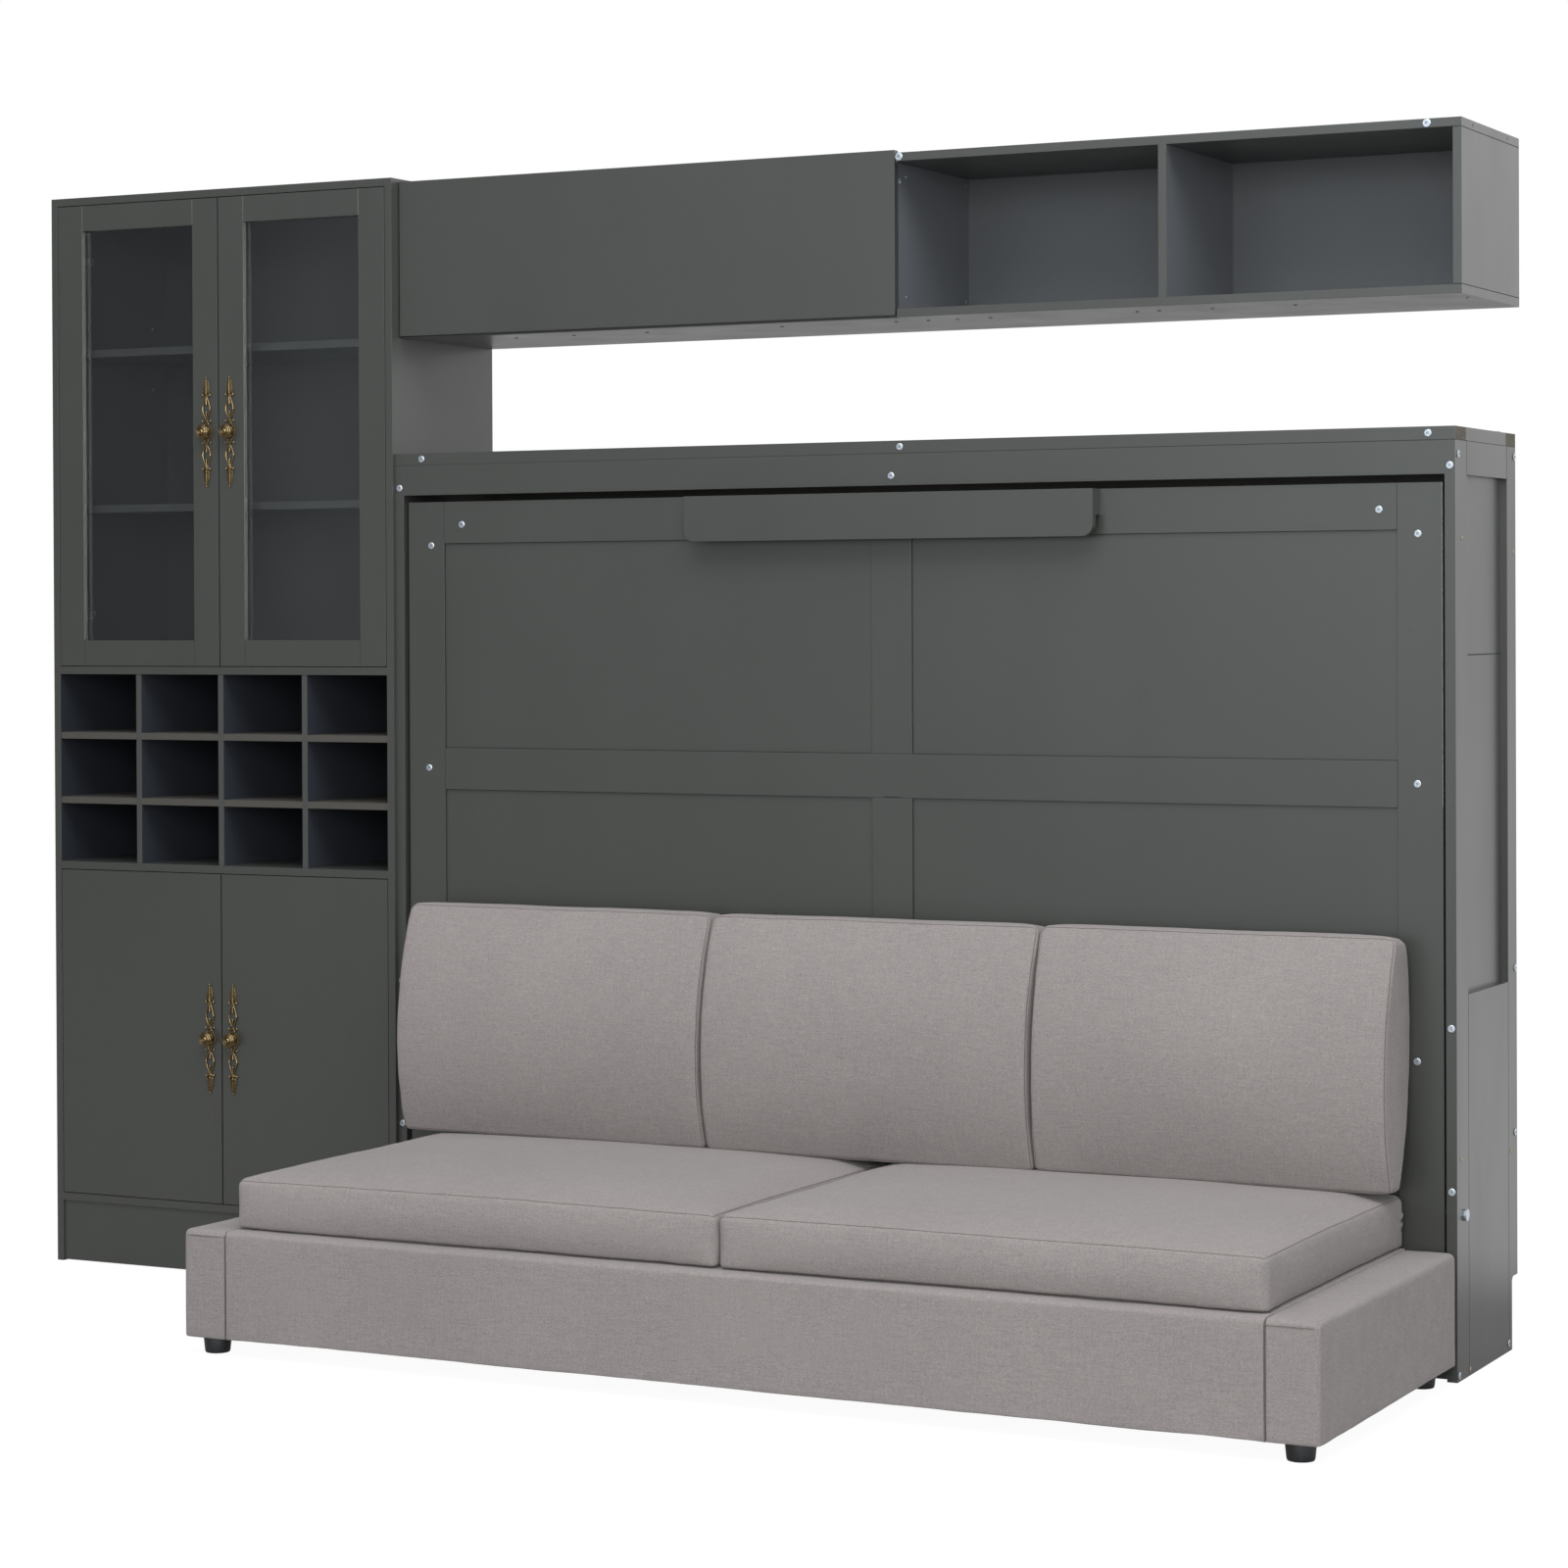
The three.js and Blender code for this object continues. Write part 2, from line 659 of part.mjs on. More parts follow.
const through = [bedSetback - overrun, faceBack + overrun];
const faceFrame = windows.reduce(
  (solid, { x, z }) => solid.subtract(boxSolid(x, through, z)),
  boxSolid([bedLeft, bedRight], [bedSetback, faceBack], [bedBottom, bedTop]),
);
addPiece(bed, "bed_face_frame", paint, toGeometry(faceFrame), 0, 0, 0);

const backing = boxSolid([bedLeft, bedRight], span(faceBack, bedPanelThickness), [bedBottom, bedTop]);
const fields = windows.map(({ x, z }) =>
  boxSolid(
    [x[0] + facePanelFit, x[1] - facePanelFit],
    [bedSetback + facePanelRecess, faceBack + bedPanelThickness / 2],
    [z[0] + facePanelFit, z[1] - facePanelFit],
  ),
);
addPiece(bed, "bed_panel", paint, toGeometry(join([backing, ...fields])), 0, 0, 0);

const bedFrameFront = faceBack + bedPanelThickness;
const bedInside = [bedLeft + bedRailThickness, bedRight - bedRailThickness];
const bedInsideHeight = [bedBottom + bedRailThickness, bedTop - bedRailThickness];
const bedInsideDepth = [bedFrameFront - overrun, bedFrameFront + bedRailDepth + overrun];
const pivotBore = new THREE.CylinderGeometry(
  pivotBoltRadius + pivotClearance,
  pivotBoltRadius + pivotClearance,
  bedWidth + 2 * overrun,
  roundSteps,
)
  .rotateZ(Math.PI / 2)
  .translate((bedLeft + bedRight) / 2, pivotFromFront, pivotHeight);
const boxFrame = boxSolid([bedLeft, bedRight], span(bedFrameFront, bedRailDepth), [bedBottom, bedTop])
  .subtract(boxSolid(bedInside, bedInsideDepth, bedInsideHeight))
  .subtract(toSolid(pivotBore));
addPiece(bed, "bed_box_frame", paint, toGeometry(boxFrame), 0, 0, 0);

const slatFront = bedFrameFront + ledgerSize;
const ledgerDepth = [slatFront - ledgerSize, slatFront];
const ledgerRun = bedInsideHeight[1] - ledgerSize - bedInsideHeight[0];
const ledgers = [0, 1, 2].map((place) => bedInsideHeight[0] + (place * ledgerRun) / 2);
const slatPitch = (bedInside[1] - bedInside[0] - slatWidth) / slatCount;
const slatSolids = ledgers.map((z) => boxSolid(bedInside, ledgerDepth, span(z, ledgerSize)));
const slatDepth = [slatFront - ledgerSize / 4, slatFront + slatThickness];
for (let i = 0; i < slatCount; i += 1) {
  const x = bedInside[0] + slatPitch / 2 + slatPitch * i;
  slatSolids.push(boxSolid(span(x, slatWidth), slatDepth, bedInsideHeight));
}
addPiece(bed, "bed_slats", pine, toGeometry(join(slatSolids)), 0, 0, 0);

const pullLeft = (bedLeft + bedRight - pullWidth) / 2;
const pullShape = new THREE.Shape();
pullShape.moveTo(pullCornerRadius, 0);
pullShape.lineTo(pullWidth - pullCornerRadius, 0);
pullShape.absarc(pullWidth - pullCornerRadius, pullCornerRadius, pullCornerRadius, -Math.PI / 2, 0, false);
pullShape.lineTo(pullWidth, pullHeight);
pullShape.lineTo(0, pullHeight);
pullShape.lineTo(0, pullCornerRadius);
pullShape.absarc(pullCornerRadius, pullCornerRadius, pullCornerRadius, Math.PI, Math.PI * 1.5, false);
const battenSpan = [pullThickness / 2, pullThickness + battenDepth];
const batten = boxSolid([0, pullWidth], battenSpan, [pullHeight - battenHeight, pullHeight]);
const pullSolid = toSolid(extrudeBack(pullShape, pullThickness)).add(batten);
const pullFront = bedSetback - battenDepth - pullThickness;
addPiece(bed, "pull_board", paint, toGeometry(pullSolid), pullLeft, pullFront, bedTop - pullHeight);

// Sofa: upholstered arms and front rail round a covered deck, on four round feet
const sofaBack = -sofaGap;
const armInner = [cabinetLeft + armWidth, -armWidth];
const deckTop = sofaHeight;

function addUpholstered(name, [x0, x1], [y0, y1]) {
  const height = sofaHeight - footHeight;
  const geometry = new RoundedBoxGeometry(x1 - x0, y1 - y0, height, 2, upholsteryRadius);
  addPiece(fixed, name, linen, geometry, (x0 + x1) / 2, (y0 + y1) / 2, footHeight + height / 2);
}
addUpholstered("sofa_left_arm", [cabinetLeft, armInner[0]], [-sofaDepth, sofaBack]);
addUpholstered("sofa_right_arm", [armInner[1], 0], [-sofaDepth, sofaBack]);
addUpholstered("sofa_front_rail", armInner, span(-sofaDepth, sofaRailThickness));

const deckFront = -sofaDepth + sofaRailThickness;
const deckSection = outline([
  [deckFront, deckTop - deckThickness],
  [sofaBack - deckThickness, deckTop - deckThickness],
  [sofaBack - deckThickness, footHeight],
  [sofaBack, footHeight],
  [sofaBack, deckTop],
  [deckFront, deckTop],
]);
addPiece(fixed, "sofa_deck", linen, extrudeRight(deckSection, armInner[1] - armInner[0]), armInner[0], 0, 0);

const footPlaces = {
  foot_front_left: [cabinetLeft + footFromEnd, -sofaDepth + footFromFront],
  foot_front_right: [-footFromEnd, -sofaDepth + footFromFront],
  foot_rear_left: [cabinetLeft + footFromEnd, -footFromRear],
  foot_rear_right: [-footFromEnd, -footFromRear],
};
for (const [name, [x, y]] of Object.entries(footPlaces)) {
  const foot = new THREE.CylinderGeometry(footRadius, footRadius - footTaper, footHeight, roundSteps);
  addPiece(fixed, name, blackPlastic, foot.rotateX(Math.PI / 2), x, y, footHeight / 2);
}

// Cushions: a box grid whose edges are rounded, whose faces are crowned and whose sides draw in
const edgeRings = 2;
const longSteps = 11;
const thinSteps = 5;

function gridToEdge(value, half, round, steps) {
  const share = Math.abs(value) / half;
  const flatShare = 1 - (2 * edgeRings) / steps;
  const flat = half - round;
  const rounded = flat + ((share - flatShare) / (1 - flatShare)) * round;
  return Math.sign(value) * (share <= flatShare ? (share / flatShare) * flat : rounded);
}

function cushionGeometry(size, round, shapeVertex) {
  const steps = [longSteps, longSteps, thinSteps];
  const geometry = new THREE.BoxGeometry(...size, ...steps);
  const position = geometry.attributes.position;
  for (let i = 0; i < position.count; i += 1) {
    const grid = [position.getX(i), position.getY(i), position.getZ(i)];
    const onBox = grid.map((value, k) => gridToEdge(value, size[k] / 2, round, steps[k]));
    const core = new THREE.Vector3(
      ...onBox.map((value, k) => Math.sign(value) * Math.min(Math.abs(value), size[k] / 2 - round)),
    );
    const vertex = new THREE.Vector3(...onBox).sub(core).setLength(round).add(core);
    shapeVertex(vertex);
    position.setXYZ(i, vertex.x, vertex.y, vertex.z);
  }
  geometry.computeVertexNormals();
  return geometry;
}

// Full in the middle of a span and nothing at its ends
function swell(value, length) {
  return Math.max(0, 1 - ((2 * value) / length) ** 2);
}

const cushionRun = armInner[1] - armInner[0];
const seatWidth = (cushionRun - 3 * cushionGap) / 2;
const seatFront = deckFront - seatFrontOverlap;
const seatLength = sofaBack - seatFront;
const seatMiddleY = seatFront + seatLength / 2;
const seatSize = [seatWidth, seatLength, seatCushionThickness];
const seatGeometry = cushionGeometry(seatSize, seatCushionRound, (vertex) => {
  const { x, y, z } = vertex;
  const upper = Math.max(0, z) / (seatCushionThickness / 2);
  const fullness = swell(x, seatWidth) * swell(y, seatLength);
  vertex.z += upper * seatCrown * fullness ** seatCrownPower;
  vertex.x -= ((2 * x) / seatWidth) * seatDrawIn * swell(y, seatLength);
  vertex.y -= ((2 * y) / seatLength) * seatDrawIn * swell(x, seatWidth);
});
const seatCushions = ["seat_cushion_left", "seat_cushion_right"].map((name, index) => {
  const x = armInner[0] + cushionGap + index * (seatWidth + cushionGap) + seatWidth / 2;
  const z = deckTop + seatClearance + seatCushionThickness / 2;
  return addPiece(fixed, name, linen, seatGeometry.clone(), x, seatMiddleY, z);
});

// Rounds the corners of a cushion's outline: a point in a corner square goes onto a quarter disc
function roundCorner(vertex, width, length) {
  const overX = Math.abs(vertex.x) - (width / 2 - backCornerRadius);
  const overY = Math.abs(vertex.y) - (length / 2 - backCornerRadius);
  if (overX <= 0 || overY <= 0) {
    return;
  }
  const shrink = Math.max(overX, overY) / Math.hypot(overX, overY) - 1;
  vertex.x += Math.sign(vertex.x) * overX * shrink;
  vertex.y += Math.sign(vertex.y) * overY * shrink;
}

// Back cushions stand on the seat's rear part, lean on the bed's face and reach over both arms
const backRun = span(armInner[0] - backOverhang, cushionRun + 2 * backOverhang);
const backWidth = (backRun[1] - backRun[0] - 2 * cushionGap) / 3;
const lean = THREE.MathUtils.degToRad(backCushionLean);
const backSize = [backWidth, backCushionLength, backCushionMiddle];
const backGeometry = cushionGeometry(backSize, backCushionRound, (vertex) => {
  const { x, y, z } = vertex;
  const end = y > 0 ? backCushionTop : backCushionBottom;
  const along = Math.abs((2 * y) / backCushionLength);
  const thickness = backCushionMiddle - (backCushionMiddle - end) * along ** backTaperPower;
  vertex.z *= thickness / backCushionMiddle;
  const front = Math.max(0, z) / (backCushionMiddle / 2);
  vertex.z += front * backCrown * swell(x, backWidth) * swell(y, backCushionLength);
  roundCorner(vertex, backWidth, backCushionLength);
}).rotateX(Math.PI / 2 - lean);
backGeometry.computeBoundingBox();
const backBox = backGeometry.boundingBox;
const backCushionY = bedSetback - seatClearance - backBox.max.y;
const backNames = ["back_cushion_left", "back_cushion_middle", "back_cushion_right"];
const backCushions = backNames.map((name, index) => {
  const x = backRun[0] + index * (backWidth + cushionGap) + backWidth / 2;
  const z = deckTop + 2 * seatCushionThickness + seatCrown - backBox.min.z;
  return addPiece(fixed, name, linen, backGeometry.clone(), x, backCushionY, z);
});

// The least height between the points of some pieces and other pieces above or below them
function leastRise(pieces, others, direction) {
  const caster = new THREE.Raycaster();
  let least = Infinity;
  for (const piece of pieces) {
    const position = piece.geometry.attributes.position;
    for (let i = 0; i < position.count; i += 1) {
      caster.set(piece.localToWorld(new THREE.Vector3().fromBufferAttribute(position, i)), direction);
      for (const hit of caster.intersectObjects(others)) least = Math.min(least, hit.distance);
    }
  }
  return least;
}

// Each back cushion comes down until it rests on the seat
part.updateMatrixWorld(true);
const down = zAxis.clone().negate();
for (const cushion of backCushions) {
  const below = leastRise([cushion], seatCushions, down);
  const above = leastRise(seatCushions, [cushion], zAxis);
  cushion.position.z -= Math.min(below, above) - seatClearance;
}

export default part;
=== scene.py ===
import math

import bmesh
import bpy
from mathutils import Matrix, Vector, noise
from mathutils.bvhtree import BVHTree


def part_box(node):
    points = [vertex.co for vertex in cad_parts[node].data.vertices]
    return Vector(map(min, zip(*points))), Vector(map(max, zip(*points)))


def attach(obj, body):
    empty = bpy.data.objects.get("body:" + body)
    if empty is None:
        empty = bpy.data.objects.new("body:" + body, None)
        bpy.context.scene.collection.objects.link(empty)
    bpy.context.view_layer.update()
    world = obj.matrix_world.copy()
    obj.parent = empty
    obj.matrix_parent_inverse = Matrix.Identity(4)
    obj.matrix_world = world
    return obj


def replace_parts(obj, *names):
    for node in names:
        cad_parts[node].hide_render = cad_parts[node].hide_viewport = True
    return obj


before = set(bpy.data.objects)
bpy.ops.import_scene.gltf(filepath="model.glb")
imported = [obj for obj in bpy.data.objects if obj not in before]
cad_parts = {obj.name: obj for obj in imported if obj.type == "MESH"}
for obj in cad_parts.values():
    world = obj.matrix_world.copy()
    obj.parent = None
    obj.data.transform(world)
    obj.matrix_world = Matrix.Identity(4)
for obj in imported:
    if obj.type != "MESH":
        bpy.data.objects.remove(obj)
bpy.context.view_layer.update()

# The photographer's camera: a long lens at chest height in front of the cabinet's right end, with
# its frame shifted down so that uprights stay upright.
millimetre = 0.001
side_low, side_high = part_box("cabinet_right_side")
cabinet_corner = Vector((side_high.x, side_low.y, 0))


def at(x, y, z):
    """A place in metres, given in millimetres from the floor under the cabinet's right front corner."""
    return cabinet_corner + Vector((x, y, z)) * millimetre


frame_pixels = 1600
focal_pixels = 3901.2
axis_row = 659.4
camera_place = at(1848.6, -6123.1, 1274.4)
camera_yaw, camera_pitch, camera_roll = (math.radians(angle) for angle in (26.762, -0.482, -0.255))
forward = Vector((
    -math.sin(camera_yaw) * math.cos(camera_pitch),
    math.cos(camera_yaw) * math.cos(camera_pitch),
    math.sin(camera_pitch),
))
level = Vector((math.cos(camera_yaw), math.sin(camera_yaw), 0))
upward = level.cross(forward)
camera_right = level * math.cos(camera_roll) + upward * math.sin(camera_roll)
camera_up = upward * math.cos(camera_roll) - level * math.sin(camera_roll)
turn = Matrix((camera_right, camera_up, -forward)).transposed().to_4x4()
lens = bpy.data.cameras.new("camera")
lens.sensor_width = 36
lens.lens = focal_pixels / frame_pixels * lens.sensor_width
lens.shift_y = (axis_row - frame_pixels / 2) / frame_pixels
lens.clip_end = 100
camera = bpy.data.objects.new("camera", lens)
camera.matrix_world = Matrix.Translation(camera_place) @ turn
bpy.context.scene.collection.objects.link(camera)
bpy.context.scene.camera = camera
bpy.context.scene.view_settings.view_transform = "Standard"


# The studio: a white floor and white air, with one broad soft lamp beside the camera and one
# overhead. What the gloss of the lacquer sees is dim on the left and bright on the right.
class Tone:
    """A number that varies over a surface. Sums on it add Math nodes to its finish."""

    def __init__(self, finish, socket):
        self.finish = finish
        self.socket = socket

    def maths(self, operation, *values):
        node = self.finish.node("ShaderNodeMath", {"operation": operation}, *values)
        return Tone(self.finish, node.outputs[0])

    def __add__(self, other):
        return self.maths("ADD", self, other)

    def __sub__(self, other):
        return self.maths("SUBTRACT", self, other)

    def __rsub__(self, other):
        return self.maths("SUBTRACT", other, self)

    def __mul__(self, other):
        return self.maths("MULTIPLY", self, other)

    def __gt__(self, other):
        return self.maths("GREATER_THAN", self, other)

    def __lt__(self, other):
        return self.maths("LESS_THAN", self, other)

    def __abs__(self):
        return self.maths("ABSOLUTE", self)

    def held(self, low, high):
        """The number kept between two limits."""
        return self.finish.tone("ShaderNodeClamp", None, self, low, high)

    __radd__ = __add__
    __rmul__ = __mul__


class Finish:
    """A material, or the world, whose nodes are made one by one."""

    def __init__(self, name, owner=None):
        self.material = owner or bpy.data.materials.new(name)
        self.material.use_nodes = True
        self.tree = self.material.node_tree
        self.tree.nodes.clear()

    def node(self, kind, settings=None, *values, numbered=None, **named):
        """A node of one type. Its settings come first, then its sockets by order, number or name."""
        made = self.tree.nodes.new(kind)
        for setting, value in (settings or {}).items():
            setattr(made, setting, value)
        for key, value in [*enumerate(values), *(numbered or {}).items(), *named.items()]:
            socket = made.inputs[key.replace("_", " ") if isinstance(key, str) else key]
            source = value.socket if isinstance(value, Tone) else value
            if isinstance(source, bpy.types.NodeSocket):
                self.tree.links.new(source, socket)
            else:
                socket.default_value = source
        return made

    def tone(self, kind, settings=None, *values, output=0, **named):
        return Tone(self, self.node(kind, settings, *values, **named).outputs[output])

    def place(self, scale=(1, 1, 1)):
        """The piece's own coordinates in metres, stretched by the given scale."""
        coordinates = self.node("ShaderNodeTexCoord").outputs["Object"]
        return self.node("ShaderNodeMapping", None, Vector=coordinates, Scale=scale).outputs[0]

    def axes(self):
        split = self.node("ShaderNodeSeparateXYZ", None, self.place())
        return [Tone(self, split.outputs[i]) for i in range(3)]

    def cloud(self, scale, stretch=(1, 1, 1), detail=2.0):
        """Soft random tone from 0 to 1, with the given number of blobs in a metre."""
        return self.tone(
            "ShaderNodeTexNoise", None, Vector=self.place(stretch), Scale=scale, Detail=detail
        )

    def blend(self, share, low, high):
        """A colour between two others, which are colours or sockets."""
        mix = self.node("ShaderNodeMix", {"data_type": "RGBA"}, numbered={0: share, 6: low, 7: high})
        return mix.outputs[2]

    def close(self, shader, bump=None, depth=0.001, strength=1.0, arris=None):
        """Ends the material. arris is the radius to which the sharp edges of a board are sanded."""
        if bump is not None:
            relief = self.node("ShaderNodeBump", None, Height=bump, Distance=depth, Strength=strength)
            if arris is not None:
                sanded = self.node("ShaderNodeBevel", {"samples": 4}, Radius=arris)
                self.tree.links.new(sanded.outputs[0], relief.inputs["Normal"])
            self.tree.links.new(relief.outputs[0], shader.inputs["Normal"])
        self.node("ShaderNodeOutputMaterial", None, shader.outputs[0])
        return self.material


def colour(red, green, blue):
    """A colour as it looks on a screen, from 0 to 255 a channel, in linear light."""
    channels = []
    for channel in (red, green, blue):
        value = channel / 255
        channels.append(value / 12.92 if value <= 0.04045 else ((value + 0.055) / 1.055) ** 2.4)
    return (*channels, 1.0)


def shaded(shade, *levels):
    """A colour made darker or paler, by one level or by a level for each channel."""
    return colour(*(channel * level for channel, level in zip(shade, levels * 3)))


fill_level = 0.5
dim_gloss, room_top, blind_top, window_top = 0.12, 0.85, 0.5, 2.8
room_start, blind_start, window_start = 0.58, 0.37, 0.31
room_slope, blind_slope, window_slope = 3.3, 8, 130
window_head, dimmest_window = 0.18, 0.08
wall_level, wall_slope, wall_dimmest, wall_top = 0.94, 3.4, 0.55, 1.36
window_tint = (0.90, 0.98, 1.05, 1)
world = bpy.data.worlds.new("studio")
bpy.context.scene.world = world
air = Finish("studio", world)
outward = air.node("ShaderNodeTexCoord").outputs["Generated"]
way = air.node("ShaderNodeSeparateXYZ", None, outward)
sideways, backwards, skywards = (Tone(air, way.outputs[i]) for i in range(3))
room_gloss = ((sideways + room_start) * room_slope + dim_gloss).held(dim_gloss, room_top)
blind_gloss = ((sideways + blind_start) * blind_slope).held(0.0, blind_top)
above_sill = (skywards * 16 + 0.5).held(dimmest_window, 1.0)
below_head = ((window_head - skywards) * 22).held(dimmest_window, 1.0)
window_gloss = ((sideways + window_start) * window_slope).held(0.0, window_top)
window_gloss = window_gloss * (above_sill * below_head) + blind_gloss
wall_gloss = (skywards * wall_slope + wall_level).held(wall_dimmest, wall_top)
behind = (backwards * 4 + 0.5).held(0.0, 1.0)
in_gloss = (room_gloss + window_gloss) * (1 - behind) + wall_gloss * behind
air_rays = air.node("ShaderNodeLightPath")
straight = Tone(air, air_rays.outputs["Is Camera Ray"])
straight = straight + Tone(air, air_rays.outputs["Is Transmission Ray"])
mirrored = Tone(air, air_rays.outputs["Is Glossy Ray"])
air_light = straight * (1 - fill_level) + mirrored * (in_gloss - fill_level) + fill_level
cool = air.blend(mirrored * (1 - behind), (1, 1, 1, 1), window_tint)
glow = air.node("ShaderNodeBackground", None, Color=cool, Strength=air_light)
air.node("ShaderNodeOutputWorld", None, glow.outputs[0])


def lamp(name, place, target, size, power):
    light = bpy.data.lights.new(name, "AREA")
    light.shape = "RECTANGLE"
    light.size, light.size_y = size
    light.energy = power
    holder = bpy.data.objects.new(name, light)
    holder.location = place
    holder.rotation_euler = (Vector(target) - Vector(place)).to_track_quat("-Z", "Y").to_euler()
    bpy.context.scene.collection.objects.link(holder)


lamp("camera lamp", place=(3.2, -7.0, 2.2), target=(0, 0, 0.9), size=(4.0, 2.6), power=148)
lamp("ceiling lamp", place=(1.4, -2.4, 4.8), target=(0.2, -0.3, 0.6), size=(4.5, 2.5), power=128)

floor_reach = 30
floor_level = -0.0005
floor_corners = ((-1, -1), (1, -1), (1, 1), (-1, 1))
floor_mesh = bpy.data.meshes.new("studio_floor")
floor_mesh.from_pydata(
    [(x * floor_reach, y * floor_reach, floor_level) for x, y in floor_corners], [], [(0, 1, 2, 3)]
)
studio_floor = bpy.data.objects.new("studio_floor", floor_mesh)
bpy.context.scene.collection.objects.link(studio_floor)
floor_finish = Finish("studio floor")
floor_grey = (0.45, 0.45, 0.45, 1)
matte = floor_finish.node(
    "ShaderNodeBsdfPrincipled", None, Base_Color=floor_grey, Roughness=0.9, Specular_IOR_Level=0.0
)
floor_rays = floor_finish.node("ShaderNodeLightPath")
gloss_ray = Tone(floor_finish, floor_rays.outputs["Is Glossy Ray"])
floor_place = floor_finish.axes()
beyond = ((floor_place[1] - 0.9) * 2).held(0.0, 1.0) * ((floor_place[0] - 0.4) * 0.8).held(0.15, 1.0)
white_level, mirrored_extra = 1.22, 0.8
white = floor_finish.node(
    "ShaderNodeEmission", None, Color=(1, 1, 1, 1), Strength=gloss_ray * mirrored_extra + white_level
)
camera_share, through_share = 0.78, 0.72
floor_seen = Tone(floor_finish, floor_rays.outputs["Is Camera Ray"]) * camera_share
floor_seen = floor_seen + Tone(floor_finish, floor_rays.outputs["Is Transmission Ray"]) * through_share
floor_seen = floor_seen + gloss_ray * (beyond * 0.4 + 0.1)
both = floor_finish.node("ShaderNodeMixShader", None, floor_seen, matte.outputs[0], white.outputs[0])
floor_mesh.materials.append(floor_finish.close(both))


# The boards: fibreboard under a satin lacquer in a dark grey green, sprayed on, so that it has a
# faint orange peel. Where two boards are glued edge to edge, the joint shows as a hairline.
def lacquer(name, shade, joints=(), bare=(), painted_light_boxes=None, joint_half=0.0006, gloss=0.31):
    """joints are lines across a face, (axis, place, other axis, from, to) in metres. bare
    places are (low corner, high corner, colour), where the paint is rubbed off or was never put on,
    and also a painted shade in a slot. painted_light_boxes gives other such boxes, and one colour of
    painted light for them all, paler where light falls and darker where shade falls."""
    paint = Finish(name)
    cloudy = paint.cloud(2.2, detail=3.0)
    fine = paint.cloud(60, detail=3.0)
    peel = paint.cloud(700, detail=1.0)
    wipe = paint.cloud(9, (1, 1, 0.25))
    base = paint.blend(cloudy * 0.7 + fine * 0.3, shaded(shade, 0.95), shaded(shade, 1.05))
    relief = peel * 0.03
    roughness = wipe * 0.14 + (gloss - 0.07)
    axes = paint.axes() if joints or bare or painted_light_boxes else None

    def between(axis, low, high):
        return (axes[axis] > low) * (axes[axis] < high)

    def within(low, high):
        return between(0, low[0], high[0]) * between(1, low[1], high[1]) * between(2, low[2], high[2])

    # The painted_light_boxes take one colour of painted light: paler where light falls, darker where
    # shade falls.
    if painted_light_boxes:
        boxes, tint = painted_light_boxes
        base = paint.blend(sum(within(*box) for box in boxes), base, colour(*tint))
    if joints:
        line = sum(
            (abs(axes[axis] - place) < joint_half) * between(other, low, high)
            for axis, place, other, low, high in joints
        )
        base = paint.blend(line * joint_shade, base, shaded(shade, 0.4))
        relief = relief - line
        roughness = roughness + line * 0.5
    # These patches are rubbed paint and raw board, and one of them, in the bed's face, is a painted
    # shade in a slot.
    for low, high, tint in bare:
        patchy = (paint.cloud(380, detail=3.0) * 2.4 - 0.5).held(0.25, 1.0)
        marked = within(low, high) * patchy
        base = paint.blend(marked, base, colour(*tint))
        roughness = roughness + marked * 0.5
    shader = paint.node("ShaderNodeBsdfPrincipled", None, Base_Color=base, Roughness=roughness)
    return paint.close(shader, relief, depth=0.0004, strength=0.6, arris=0.0009)


skin = 0.0008
joint_shade = 0.8
board_shade = (71, 73, 70)
plain_lacquer = lacquer("board lacquer", board_shade)


def finish_node(name, material):
    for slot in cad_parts[name].material_slots:
        slot.material = material


plain_boards = [
    "lower_right_side", "upper_left_side", "upper_right_side", "tower_top", "upper_floor",
    "rack_floor", "cupboard_floor", "kick_board", "upper_shelf_low", "upper_shelf_high",
    "cupboard_door_left", "cupboard_door_right", "overhead_bottom", "flap_door",
    "cabinet_rear_rail", "bed_panel", "bed_box_frame", "pull_board",
]
for board in plain_boards:
    finish_node(board, plain_lacquer)

# The cabinet's apron is a lacquered board that is screwed up against the top plate from behind,
# which leaves a fine dark line along its top.
low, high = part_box("cabinet_apron")
apron_joints = [(2, high.z, 0, low.x, high.x)]
finish_node("cabinet_apron", lacquer("apron lacquer", board_shade, apron_joints, joint_half=0.0012))

# The overhead's right end is a board that stands between its top and bottom boards. The top board
# shows two dark dowel ends in its right edge.
low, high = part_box("overhead_right_end")
end_joints = [(2, z, 1, low.y - skin, high.y + skin) for z in (low.z, high.z)]
finish_node(
    "overhead_right_end", lacquer("overhead end lacquer", board_shade, end_joints, joint_half=0.0016)
)

low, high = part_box("overhead_top")
dowel_half = 0.0028
dowel_tint = (22, 22, 22)
dowels = []
middle_height = (low.z + high.z) / 2
for y in (at(0, 81, 0).y, at(0, 284, 0).y):
    dowels.append((
        (high.x - skin, y - dowel_half, middle_height - dowel_half),
        (high.x + skin, y + dowel_half, middle_height + dowel_half),
        dowel_tint,
    ))
finish_node("overhead_top", lacquer("overhead top lacquer", board_shade, bare=dowels))

# The cabinet's top plate lies over the sides, with its right edge left raw at both corners, where
# the brown fibreboard shows through the thin lacquer.
low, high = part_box("cabinet_top")
edge_in = 0.001
raw_front, raw_rear = 0.062, 0.058
raw_corners = [
    ((high.x - skin, start, low.z - skin), (high.x + skin, end, high.z + skin), tint)
    for start, end, tint in (
        (low.y + edge_in, low.y + raw_front, (74, 62, 44)),
        (high.y - raw_rear, high.y + skin, (86, 76, 60)),
    )
]
finish_node("cabinet_top", lacquer("cabinet top lacquer", board_shade, bare=raw_corners))

